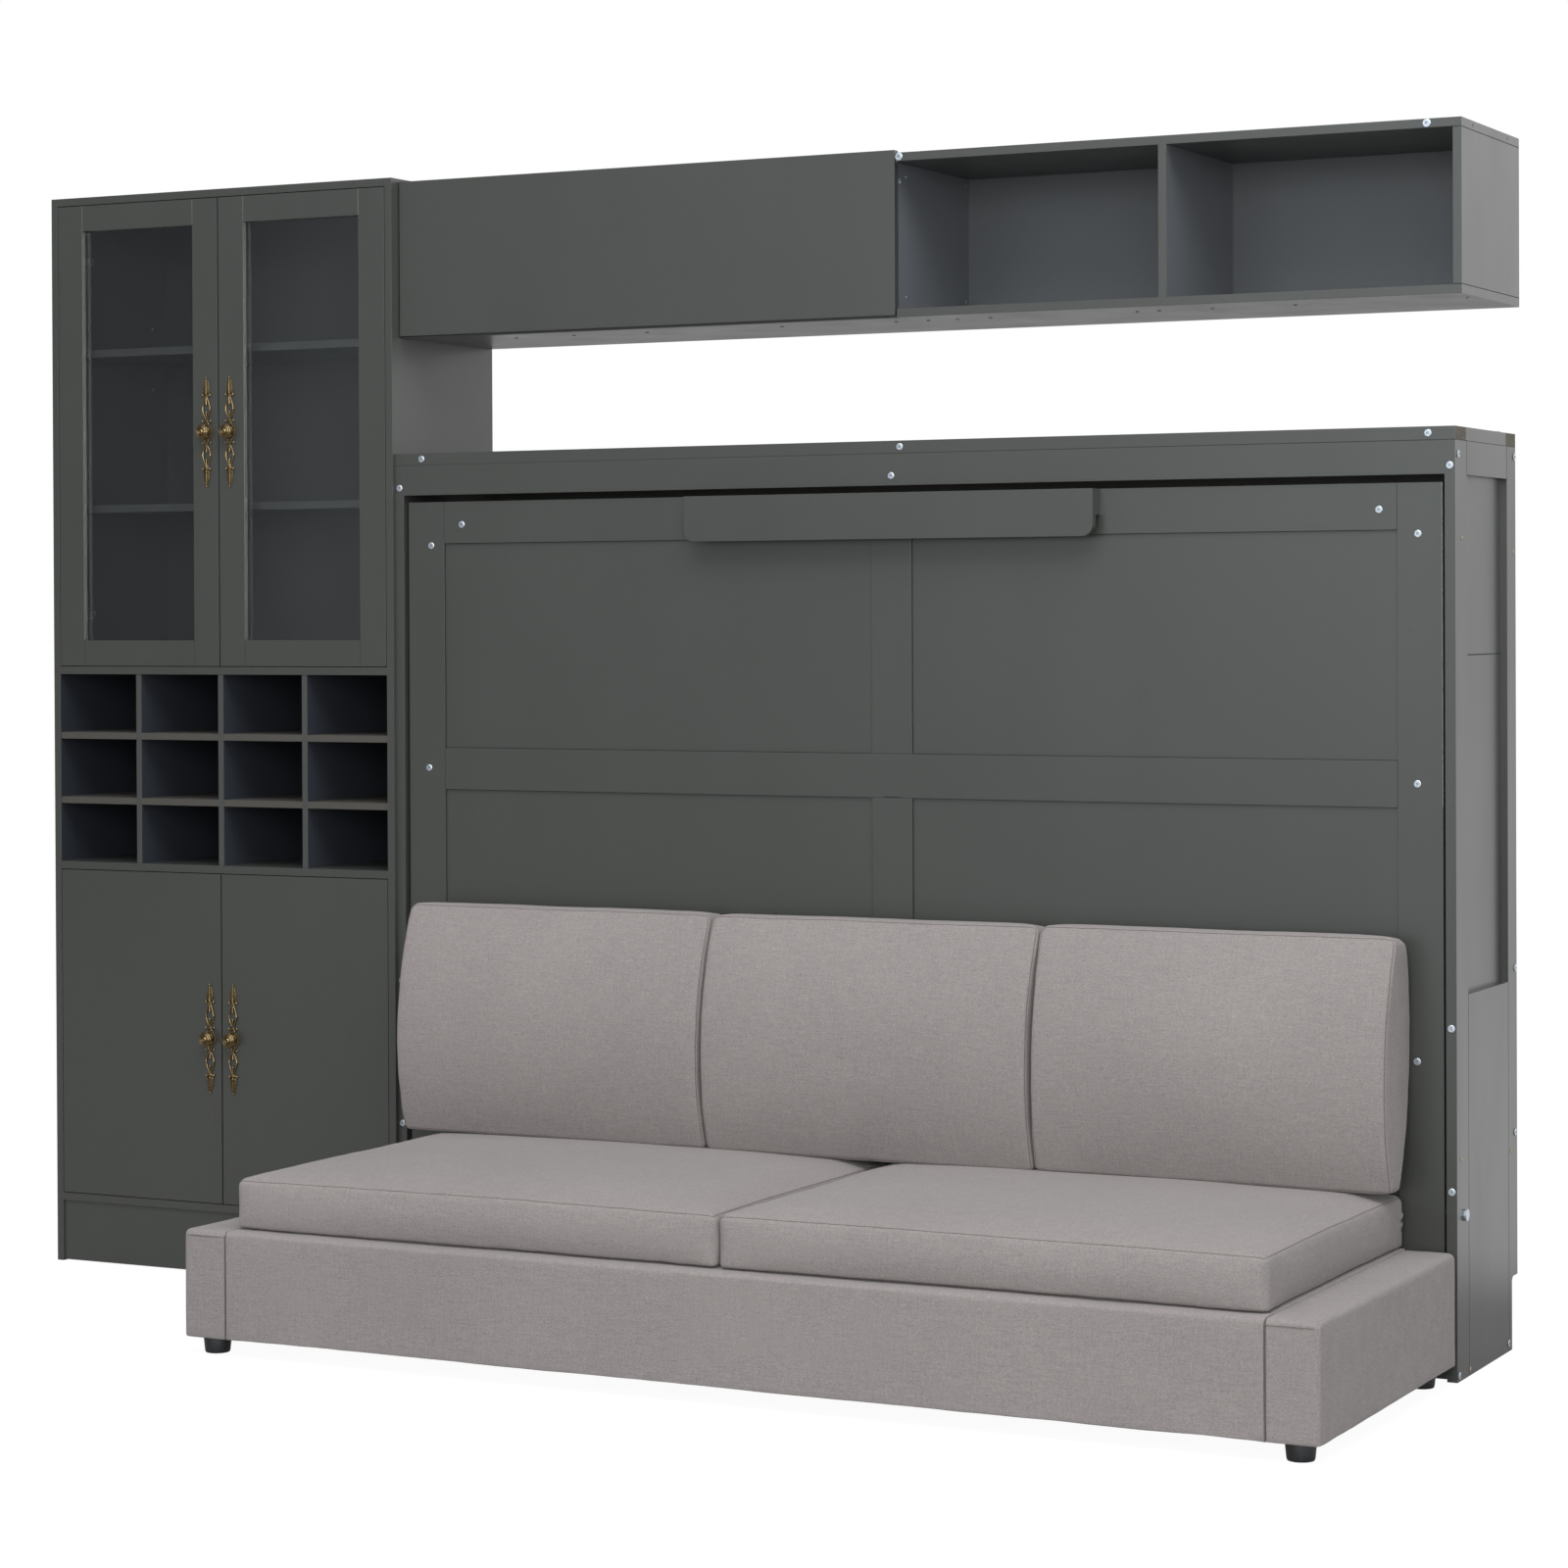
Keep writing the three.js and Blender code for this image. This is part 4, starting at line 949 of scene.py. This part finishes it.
def rounded_slab(size, radius, name):
    """A flat plate round the origin with its upright edges rounded and its top edges eased."""
    slab = bmesh.new()
    bmesh.ops.create_cube(slab, size=1.0, matrix=Matrix.Diagonal((*size, 1)))
    upright = [edge for edge in slab.edges if abs(edge.verts[0].co.z - edge.verts[1].co.z) > size[2] / 2]
    bmesh.ops.bevel(slab, geom=upright, offset=radius, segments=5, affect="EDGES", profile=0.5)
    flat = [
        edge for edge in slab.edges
        if all(abs(abs(vertex.co.z) - size[2] / 2) < size[2] / 50 for vertex in edge.verts)
        and len(edge.link_faces) == 2 and edge.calc_face_angle(0) > 1.0
    ]
    ease = min(radius, size[2]) * 0.3
    bmesh.ops.bevel(slab, geom=flat, offset=ease, segments=2, affect="EDGES", profile=0.5)
    return finished_mesh(slab, name)


plate_thick, arm_thick = 0.0022, 0.006
plate_and_arm = plate_thick + arm_thick
hinge_plate = rounded_slab((0.016, 0.052, plate_thick), 0.004, "hinge plate")
hinge_arm = rounded_slab((0.009, 0.044, arm_thick), 0.002, "hinge arm")
plate_parts = [
    (hinge_plate, Matrix.Translation((0, 0.022, plate_thick / 2))),
    (hinge_arm, Matrix.Translation((0, 0.012, plate_thick + arm_thick / 2))),
    (small_head.data, Matrix.Translation((0, 0.041, plate_thick))),
    (small_head.data, Matrix.Translation((0, 0.030, plate_and_arm))),
]
plate_with_screws = gather("hinge plate", plate_parts)
hinge_from_end, hinge_reach = 0.1, 0.0486
hinge_meshes = []
for door in door_bodies:
    leaf = f"{door}_frame" if f"{door}_frame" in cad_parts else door
    low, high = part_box(leaf)
    on_left = door.endswith("left")
    facing_in = Matrix.Rotation(math.pi / 2 if on_left else -math.pi / 2, 4, "Y")
    for z in (low.z + hinge_from_end, high.z - hinge_from_end):
        place = Matrix.Translation((wall_left if on_left else wall_right, high.y + hinge_reach, z))
        hinge_meshes.append((plate_with_screws, place @ facing_in))
add_piece("hinge_plates", gather("hinge_plates", hinge_meshes), "cabinet", zinc)

# Pale softwood plugs are tapped into the cabinet's right side, where they close the holes of its
# hidden cam bolts.
plugged = Finish("plug wood")
plug_grain = plugged.cloud(300, (1, 0.2, 1), detail=2.0)
plug_shader = plugged.node(
    "ShaderNodeBsdfPrincipled",
    None,
    Base_Color=plugged.blend(plug_grain, colour(168, 148, 118), colour(205, 190, 160)),
    Roughness=0.6,
)
plug_wood = plugged.close(plug_shader, plug_grain, depth=0.0002, strength=0.3)
plug_profile = [(0, 0), (0.0036, 0), (0.0036, 0.0005), (0.003, 0.0009), (0, 0.001)]
plug_head = master(lathe(plug_profile, 16, "plug"))
plug_centres = ((37, 1396), (341, 1376), (26, 366), (318, 344), (72, 11))
plug_places = [(at(0, y, z), right) for y, z in plug_centres]
set_heads("cabinet_plugs", plug_places, plug_head, "cabinet", plug_wood)
for holder in (bolt_head, large_head, small_head, plug_head):
    bpy.data.objects.remove(holder)


# The bed cabinet's sides: two posts, a top block and a lower plate round a sunk panel, all glued
# up before the lacquer, so that the posts' joints show down to the floor.
post_front = at(0, 67, 0).y
post_rear = at(0, 303, 0).y
plate_top = 0.636
panel_joint = 1.201
block_bottom = 1.501
past_top = 1.6
side_joints = []
for y in (post_front, post_rear):
    side_joints.append((1, y, 2, 0, plate_top))
    side_joints.append((1, y, 2, block_bottom, past_top))
side_joints.append((2, panel_joint, 1, post_front, post_rear))
side_joints.append((2, side_high.z, 1, side_low.y - skin, side_high.y + skin))
side_lacquer = lacquer("cabinet side lacquer", board_shade, side_joints, joint_half=0.0011)
finish_node("cabinet_left_side", side_lacquer)
finish_node("cabinet_right_side", side_lacquer)


# A kick rail of the same lacquered fibreboard stands on edge between the cabinet's sides, screwed
# through them, and stays just clear of the floor.
rail_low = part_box("cabinet_left_side")[1].x
rail_high = side_low.x
kick_bottom, kick_top, kick_depth, kick_ease = 0.0045, 0.052, 0.018, 0.001
kick_size = (rail_high - rail_low, kick_top - kick_bottom, kick_depth)
kick_rail = rounded_slab(kick_size, kick_ease, "kick rail")
kick_rail.transform(Matrix.Rotation(math.pi / 2, 4, "X"))
kick_rail.transform(Matrix.Translation((
    (rail_low + rail_high) / 2,
    cabinet_corner.y + kick_depth / 2 + kick_ease,
    (kick_bottom + kick_top) / 2,
)))
add_piece("cabinet_kick_rail", kick_rail, "cabinet", plain_lacquer)


# The bed's face: stiles at both ends run the whole height, with rails between them and a middle
# stile between the rails. The joints are hairlines in the lacquer.
low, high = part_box("bed_face_frame")
member = 0.078
upper_panel = 0.384
middle = (low.x + high.x) / 2
top_rail = high.z - member
mid_rail = top_rail - upper_panel
face_joints = []
for x in (low.x + member, high.x - member):
    for z0, z1 in ((top_rail, high.z), (mid_rail - member, mid_rail), (low.z, low.z + member)):
        face_joints.append((0, x, 2, z0, z1))
for z in (top_rail, mid_rail, mid_rail - member, low.z + member):
    face_joints.append((2, z, 0, middle - member / 2, middle + member / 2))
# The lacquer is rubbed off its right arris from half height up. Under the middle rail a dark
# strip is painted on, a painted shade for a slot there that is not cut.
rubbed_across, rubbed_deep, rubbed_from, rubbed_to = 0.0012, 0.0015, 0.95, 1.49
sawn_edge = (
    (high.x - rubbed_across, low.y - skin, rubbed_from),
    (high.x + skin, low.y + rubbed_deep, rubbed_to),
    (150, 151, 144),
)
slot_left, slot_right = at(-1046, 0, 0).x, at(-1011, 0, 0).x
slot_bottom, slot_height = mid_rail - member, 0.0025
slot_painted_shade = (
    (slot_left, low.y - skin, slot_bottom),
    (slot_right, low.y + skin, slot_bottom + slot_height),
    (14, 14, 14),
)
finish_node(
    "bed_face_frame", lacquer("bed face lacquer", board_shade, face_joints, [sawn_edge, slot_painted_shade])
)

# The slats are planed pine, left bare, and screwed to ledgers inside the box frame, where they carry
# the mattress.
planed = Finish("planed pine")
rings = planed.cloud(16, (3, 3, 0.25), detail=4.0)
fibre = planed.cloud(240, (1, 1, 0.05), detail=2.0)
planed_shader = planed.node(
    "ShaderNodeBsdfPrincipled",
    None,
    Base_Color=planed.blend(rings * 0.7 + fibre * 0.3, colour(172, 134, 92), colour(222, 192, 148)),
    Roughness=0.62,
)
finish_node("bed_slats", planed.close(planed_shader, fibre, depth=0.0003, strength=0.4))


# The sofa's cover: a flat-woven linen mix in warm grey, whose uneven yarns leave darker and
# paler streaks along the weft and the warp.
def linen_cloth(name, shade):
    cloth = Finish(name)
    weft = cloth.cloud(1.0, (260, 900, 900), detail=2.0)
    warp = cloth.cloud(1.0, (900, 260, 260), detail=2.0)
    slub = cloth.cloud(1.0, (420, 30, 30), detail=1.0)
    pick = cloth.cloud(1.0, (34, 520, 520), detail=1.0)
    drift = cloth.cloud(3.0, detail=2.0)
    yarn = weft * 0.4 + warp * 0.35 + slub * 0.1 + pick * 0.15
    spread = ((yarn - 0.5) * 2.6 + 0.5 + (drift - 0.5) * 0.3).held(0.0, 1.0)
    dark, pale = shaded(shade, 0.84, 0.835, 0.84), shaded(shade, 1.14, 1.14, 1.13)
    shader = cloth.node(
        "ShaderNodeBsdfPrincipled",
        None,
        Base_Color=cloth.blend(spread, dark, pale),
        Roughness=0.93,
        Specular_IOR_Level=0.2,
        Sheen_Weight=0.15,
        Sheen_Roughness=0.5,
    )
    return cloth.close(shader, yarn, depth=0.0006, strength=0.5)


linen = linen_cloth("warm grey linen", (155, 149, 149))


def shell(counts):
    """The surface grid of a box: places by (i, j, k) and the quads between them."""
    index = {}
    quads = []

    def corner(place):
        return index.setdefault(place, len(index))

    for axis in range(3):
        u, v = (axis + 1) % 3, (axis + 2) % 3
        for end in (0, counts[axis]):
            for a in range(counts[u]):
                for b in range(counts[v]):
                    quad = []
                    for du, dv in ((0, 0), (1, 0), (1, 1), (0, 1)):
                        place = [0, 0, 0]
                        place[axis], place[u], place[v] = end, a + du, b + dv
                        quad.append(corner(tuple(place)))
                    quads.append(quad if end else quad[::-1])
    return index, quads


def spread_line(count, half, radii, rings):
    """Places along one side of a rounded box, closer together in its rounded ends."""
    low, high = -half + radii[0], half - radii[1]
    places = [-half + radii[0] * i / rings for i in range(rings)]
    straight = count - 2 * rings
    places += [low + (high - low) * i / straight for i in range(straight + 1)]
    places += [high + radii[1] * (i + 1) / rings for i in range(rings)]
    return places


def soft_box(size, cell, radius, shape=None, rings=3, tight=None):
    """A rounded box of quads round the origin. shape may move each point, and tight gives some
    sides, each an (axis, end), a radius of their own. Returns the mesh, its index and counts."""
    counts = [2 * max(rings + 2, round(side / cell / 2)) for side in size]
    radii = [[(tight or {}).get((axis, end), radius) for end in (-1, 1)] for axis in range(3)]
    lines = [spread_line(counts[k], size[k] / 2, radii[k], rings) for k in range(3)]
    index, quads = shell(counts)
    points = [None] * len(index)
    for place, number in index.items():
        core = []
        offset = []
        for k in range(3):
            value = lines[k][place[k]]
            inner = max(-size[k] / 2 + radii[k][0], min(size[k] / 2 - radii[k][1], value))
            core.append(inner)
            offset.append((value - inner) / radii[k][1 if value > 0 else 0])
        facing = Vector(offset).normalized()
        point = Vector([core[k] + facing[k] * radii[k][1 if facing[k] > 0 else 0] for k in range(3)])
        points[number] = shape(point) if shape else point
    mesh = bpy.data.meshes.new("soft box")
    mesh.from_pydata(points, [], quads)
    for face in mesh.polygons:
        face.use_smooth = True
    return mesh, index, counts


def loop_of(index, counts, level):
    """The corner numbers of the ring round a box's face at one end of its third axis."""
    last_u, last_v, last_w = counts
    k = last_w if level > 0 else 0
    ring = [(i, 0) for i in range(last_u)] + [(last_u, j) for j in range(last_v)]
    ring += [(i, last_v) for i in range(last_u, 0, -1)] + [(0, j) for j in range(last_v, 0, -1)]
    return [index[(i, j, k)] for i, j in ring]


def ripple(point, scale, seed):
    """Smooth random height from -1 to 1."""
    return noise.noise(Vector(point) * scale + Vector((seed, seed * 1.7, seed * 0.6)))


seam_tree, seam_in = open_tree(
    "seam",
    [
        ("Thread radius", "NodeSocketFloat"),
        ("Stitch length", "NodeSocketFloat"),
        ("Material", "NodeSocketMaterial"),
    ],
)
seam_curve = tree_node(seam_tree, "GeometryNodeMeshToCurve", Mesh=seam_in.outputs["Geometry"])
seam_even = tree_node(
    seam_tree,
    "GeometryNodeResampleCurve",
    {"mode": "LENGTH"},
    Curve=seam_curve.outputs[0],
    Length=seam_in.outputs["Stitch length"],
)
seam_profile = tree_node(
    seam_tree, "GeometryNodeCurvePrimitiveCircle", Resolution=6, Radius=seam_in.outputs["Thread radius"]
)
seam_tube = tree_node(
    seam_tree,
    "GeometryNodeCurveToMesh",
    None,
    Curve=seam_even.outputs[0],
    Profile_Curve=seam_profile.outputs[0],
    Fill_Caps=True,
)
close_tree(seam_tree, seam_tube.outputs[0], seam_in)


stitch_length = 0.004


def seam_mesh(paths, radius, name, material):
    """Thin rounded seams along (points, closed) paths."""
    points = []
    edges = []
    for path, closed in paths:
        start = len(points)
        points += [tuple(point) for point in path]
        edges += [(start + i, start + i + 1) for i in range(len(path) - 1)]
        if closed:
            edges.append((start + len(path) - 1, start))
    line = bpy.data.meshes.new(name)
    line.from_pydata(points, edges, [])
    values = {"Thread radius": radius, "Stitch length": stitch_length, "Material": material}
    return run_tree(seam_tree, line, values, name)


# The seam tubes are coloured a darker linen, a painted shade for the dark line along each sewn seam.
seam_shade_cloth = linen_cloth("seam linen", (120, 114, 110))


# The sofa's base: plywood arms, a front rail and a deck, padded with thin foam under the linen and
# stapled below. Seams run up the corners where the covers of two faces meet.
def covered(node, name, wave_seed, tight):
    """The cover of one box of the base, with slack waves on its faces and puckers at its edges."""
    low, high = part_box(node)
    size = high - low
    centre = (low + high) / 2

    def tension(point):
        share = [abs(point[k]) / (size[k] / 2) for k in range(3)]
        edge = sorted(share)[1]
        long_wave = 0.0016 * ripple(point, 5.0, wave_seed)
        short_wave = 0.0008 * ripple(point, 21.0, wave_seed + 3)
        slack = (long_wave + short_wave - 0.0008) * min(1.0, (1 - edge) * 8)
        pucker = 0.0012 * ripple(point, 55.0, wave_seed + 8) * max(0.0, edge - 0.8) * 5
        facing = Vector((0.0, 0.0, 0.0))
        for k in range(3):
            if share[k] >= max(share) - 1e-6:
                facing[k] = math.copysign(1.0, point[k])
        return point + facing * (slack + pucker - 0.0005)

    mesh, index, counts = soft_box(size, 0.020, 0.013, tension, tight=tight)
    mesh.transform(Matrix.Translation(centre))
    piece = add_piece(name, mesh, "cabinet", linen)
    smooth = piece.modifiers.new("smooth", "SUBSURF")
    smooth.levels = smooth.render_levels = 1
    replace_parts(piece, node)


sewn_radius = 0.0018
hem_radius = 0.004
for node, name, seed, sewn_sides in (
    ("sofa_left_arm", "left_arm_cover", 2.0, ((0, 1),)),
    ("sofa_right_arm", "right_arm_cover", 5.0, ((0, -1),)),
    ("sofa_front_rail", "front_rail_cover", 9.0, ((0, -1), (0, 1), (1, 1))),
):
    tight = {side: sewn_radius for side in sewn_sides}
    tight[(2, -1)] = hem_radius
    covered(node, name, seed, tight)

# The deck is a plywood board on a rear rail, with the same linen stretched over both
deck_low, deck_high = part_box("sofa_deck")
plywood, under_deck = 0.018, 0.019
deck_boards = []
for low, high in (
    (Vector((deck_low.x, deck_low.y, deck_high.z - plywood)), deck_high),
    (
        Vector((deck_low.x, deck_high.y - plywood, deck_low.z)),
        Vector((deck_high.x, deck_high.y, deck_high.z - under_deck)),
    ),
):
    board = soft_box(high - low, 0.03, 0.003)[0]
    deck_boards.append((board, Matrix.Translation((low + high) / 2)))
deck_cover = gather("deck_cover", deck_boards)
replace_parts(add_piece("deck_cover", deck_cover, "cabinet", linen), "sofa_deck")

# A seam runs up each arm's inner corner and along its front's top edge
seam_radius = 0.0006
corner_seam_end, top_seam_down, seam_proud = 0.008, 0.011, 0.0004
arm_seams = []
for node, inner_end, outer_end in (("sofa_left_arm", 1, 0), ("sofa_right_arm", 0, 1)):
    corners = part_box(node)
    inner, outer = corners[inner_end].x, corners[outer_end].x
    front, bottom, top = corners[0].y + seam_radius, corners[0].z, corners[1].z
    heights = (bottom + hem_radius, (bottom + top) / 2, top - corner_seam_end)
    arm_seams.append(([(inner, front, z) for z in heights], False))
    inset = math.copysign(top_seam_down, outer - inner)
    places = (inner, (inner + outer) / 2, outer - inset)
    arm_seams.append(([(x, front + seam_proud, top - top_seam_down) for x in places], False))
arm_seam_mesh = seam_mesh(arm_seams, seam_radius, "arm_seams", seam_shade_cloth)
add_piece("arm_seams", arm_seam_mesh, "cabinet", seam_shade_cloth)

# The feet are black moulded plastic, slightly tapered, with a rounded lower edge, and are screwed up
# into the base.
moulded = Finish("moulded plastic")
mould_grain = moulded.cloud(500, detail=2.0)
moulded_shader = moulded.node(
    "ShaderNodeBsdfPrincipled",
    None,
    Base_Color=moulded.blend(mould_grain, colour(20, 20, 22), colour(34, 34, 36)),
    Roughness=mould_grain * 0.2 + 0.32,
)
black_plastic = moulded.close(moulded_shader, mould_grain, depth=0.0002, strength=0.3)
foot_steps = 48
for foot in ("foot_front_left", "foot_front_right", "foot_rear_left", "foot_rear_right"):
    low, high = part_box(foot)
    radius = (high.x - low.x) / 2
    height = high.z - low.z
    profile = [
        (0, 0), (radius * 0.84, 0), (radius * 0.88, height * 0.06), (radius * 0.9, height * 0.16),
        (radius * 0.99, height * 0.9), (radius * 0.97, height), (0, height),
    ]
    name = f"{foot}_moulding"
    turned_foot = lathe(profile, foot_steps, name)
    turned_foot.transform(Matrix.Translation(((low.x + high.x) / 2, (low.y + high.y) / 2, low.z)))
    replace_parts(add_piece(name, turned_foot, "cabinet", black_plastic), foot)


# The cushions: foam blocks in zipped box covers. Each face and the band round the edge are
# separate panels, sewn right sides together, so the seams draw in and the faces swell between them.
def inflate(mesh, cap, fixed):
    """Blows the cover up against its own stretch, then limits how far a point may go."""
    start = [vertex.co.copy() for vertex in mesh.vertices]
    holder = bpy.data.objects.new("cover", mesh.copy())
    bpy.context.scene.collection.objects.link(holder)
    pins = holder.vertex_groups.new(name="sewn")
    pins.add(sorted(fixed), 1.0, "REPLACE")
    cloth = holder.modifiers.new("cloth", "CLOTH")
    cloth.settings.quality = 4
    cloth.settings.mass = 0.3
    cloth.settings.tension_stiffness = 15
    cloth.settings.compression_stiffness = 15
    cloth.settings.shear_stiffness = 5
    cloth.settings.bending_stiffness = 1.0
    cloth.settings.use_pressure = True
    cloth.settings.uniform_pressure_force = 4
    cloth.settings.vertex_group_mass = "sewn"
    cloth.settings.pin_stiffness = 0.6
    cloth.settings.effector_weights.gravity = 0
    last_step = 20
    cloth.point_cache.frame_start = 1
    cloth.point_cache.frame_end = last_step
    for step in range(1, last_step + 1):
        bpy.context.scene.frame_set(step)
    graph = bpy.context.evaluated_depsgraph_get()
    blown = holder.evaluated_get(graph).to_mesh()
    for vertex, before, after in zip(mesh.vertices, start, [v.co.copy() for v in blown.vertices]):
        move = after - before
        if move.length > cap:
            move *= cap / move.length
        vertex.co = before + move
    holder.evaluated_get(graph).to_mesh_clear()
    bpy.data.objects.remove(holder)
    bpy.context.scene.frame_set(1)


def finish_cushion(mesh, rings, name, body, node, seed, limits):
    """Adds puckers by the seams, one subdivision and the seams themselves."""
    sewn = [mesh.vertices[number].co.copy() for ring in rings for number in ring]
    reach, pucker_depth, sag_depth, seam_depth = 0.045, 0.0013, 0.0018, 0.0012
    corners = [point for point in sewn for _ in range(3)]
    finder = BVHTree.FromPolygons(corners, [(3 * i, 3 * i + 1, 3 * i + 2) for i in range(len(sewn))])
    normals = [vertex.normal.copy() for vertex in mesh.vertices]
    for vertex, normal in zip(mesh.vertices, normals):
        near = finder.find_nearest(vertex.co, reach)
        closeness = 0.0 if near[0] is None else 1 - near[3] / reach
        pucker = ripple(vertex.co, 46, seed) * pucker_depth * closeness
        sag = ripple(vertex.co, 6, seed + 5) * sag_depth
        place = vertex.co + normal * (pucker + sag)
        for k in range(3):
            place[k] = max(limits[0][k], min(limits[1][k], place[k]))
        vertex.co = place
    for ring in rings:
        for number in ring:
            mesh.vertices[number].co -= normals[number] * seam_depth
    piece = add_piece(name, mesh, body, linen)
    smooth = piece.modifiers.new("smooth", "SUBSURF")
    smooth.levels = smooth.render_levels = 1
    graph = bpy.context.evaluated_depsgraph_get()
    full = bpy.data.meshes.new_from_object(piece.evaluated_get(graph), depsgraph=graph)
    piece.modifiers.clear()
    piece.data = full
    full.name = name
    paths = [([full.vertices[number].co.copy() for number in ring], True) for ring in rings]
    full.materials.clear()
    full.materials.append(linen)
    seams = seam_mesh(paths, cushion_seam_radius, f"{name}_seams", seam_shade_cloth)
    add_piece(f"{name}_seams", seams, body, seam_shade_cloth)
    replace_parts(piece, node)


cushion_seam_radius = 0.0008
side_slack, front_slack = 0.0008, 0.0025


def set_cushions(nodes, mesh, rings, bottom, first_seed, top_slack):
    """A cover in each node's place, resting where the node rests, with puckers of its own."""
    for order, node in enumerate(nodes):
        low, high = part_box(node)
        cover = mesh.copy()
        centre = (low + high) / 2
        cover.transform(Matrix.Translation((centre.x, centre.y, low.z - bottom)))
        limits = (
            low - Vector((side_slack, front_slack, 0)), high + Vector((side_slack, 0, top_slack))
        )
        finish_cushion(cover, rings, f"{node}_cover", node, node, first_seed + 7 * order, limits)


def swell(value, length):
    return max(0.0, 1 - (2 * value / length) ** 2)


seat_low, seat_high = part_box("seat_cushion_left")
seat_size = Vector((seat_high.x - seat_low.x, seat_high.y - seat_low.y, 0.088))
seat_crown = 0.016
seat_draw_in = 0.003


def seat_form(point):
    x, y, z = point
    upper = max(0.0, z) / (seat_size.z / 2)
    return Vector((
        x - 2 * x / seat_size.x * seat_draw_in * swell(y, seat_size.y),
        y - 2 * y / seat_size.y * seat_draw_in * swell(x, seat_size.x),
        z + upper * seat_crown * (swell(x, seat_size.x) * swell(y, seat_size.y)) ** 0.5,
    ))


seat_tight = {(2, -1): 0.006, (1, 1): 0.008}
seat_mesh, seat_index, seat_counts = soft_box(seat_size, 0.0125, 0.015, seat_form, tight=seat_tight)
seat_rings = [loop_of(seat_index, seat_counts, 1), loop_of(seat_index, seat_counts, -1)]
inflate(seat_mesh, 0.006, {number for ring in seat_rings for number in ring})
seats = ("seat_cushion_left", "seat_cushion_right")
set_cushions(seats, seat_mesh, seat_rings, -seat_size.z / 2, 11.0, top_slack=0.004)


# The right seat's zip ends at its rear right corner, in two pale bar tacks of thread and two dark
# plastic loops, sewn across the side band.
right_seat = bpy.data.objects["seat_cushion_right_cover"]
low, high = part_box("seat_cushion_right")
tack_rows = {
    "zip_tacks": ((0.055, 0.0016), (0.041, 0.0013)),
    "zip_loops": ((0.048, 0.0013), (0.033, 0.0011)),
}
tack_finishes = {"zip_tacks": (linen, "linen"), "zip_loops": (black_plastic, "black_plastic")}
tack_taper = (0.6, 1.0, 1.0, 1.0, 0.6)
for name, rows in tack_rows.items():
    rods = []
    for rise, thick in rows:
        path = []
        for step in range(len(tack_taper)):
            share = step / (len(tack_taper) - 1)
            back, height = high.y - 0.015 + 0.010 * share, low.z + rise - 0.004 + 0.008 * share
            beside = Vector((high.x + 0.01, back, height))
            found, spot, facing, face = right_seat.closest_point_on_mesh(beside)
            path.append(spot + facing * thick * 0.5)
        rods.append((wire(path, [thick * end for end in tack_taper], 8, name), Matrix()))
    thread, slot = tack_finishes[name]
    add_piece(f"seat_cushion_right_{name}", gather(name, rods), "seat_cushion_right", thread)


# The back cushions are foam wedges in the same linen: thick in the middle, thin at the top and
# bottom, and leaning back against the bed's face.
back_low, back_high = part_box("back_cushion_left")
back_width = back_high.x - back_low.x
back_length = 0.420
back_middle = 0.135
back_top = 0.054
back_bottom = 0.040
back_crown = 0.006
back_top_corner = 0.017
back_bottom_corner = 0.010
back_taper = 2.2
back_lean = math.radians(5)
back_size = Vector((back_width, back_length, back_middle))


def back_form(point):
    x, y, z = point
    corner = back_top_corner if y > 0 else back_bottom_corner
    u = (abs(x) - back_width / 2 + corner) / corner
    v = (abs(y) - back_length / 2 + corner) / corner
    if u > 0 and v > 0:
        x = math.copysign(back_width / 2 - corner + corner * u * (1 - v * v / 2) ** 0.5, x)
        y = math.copysign(back_length / 2 - corner + corner * v * (1 - u * u / 2) ** 0.5, y)
    end = back_top if y > 0 else back_bottom
    along = abs(2 * y / back_length)
    thickness = back_middle - (back_middle - end) * along ** back_taper
    z = z * thickness / back_middle
    z += max(0.0, 2 * z / back_middle) * back_crown * swell(x, back_width) * swell(y, back_length)
    return Vector((x, y, z))


back_tight = {(1, -1): 0.008}
back_mesh, back_index, back_counts = soft_box(back_size, 0.0125, 0.011, back_form, tight=back_tight)
back_rings = [loop_of(back_index, back_counts, 1), loop_of(back_index, back_counts, -1)]
inflate(back_mesh, 0.005, {number for ring in back_rings for number in ring})
back_mesh.transform(Matrix.Rotation(math.pi / 2 - back_lean, 4, "X"))
back_bottom_line = min(vertex.co.z for vertex in back_mesh.vertices)
backs = ("back_cushion_left", "back_cushion_middle", "back_cushion_right")
set_cushions(backs, back_mesh, back_rings, back_bottom_line, 31.0, top_slack=0.0025)
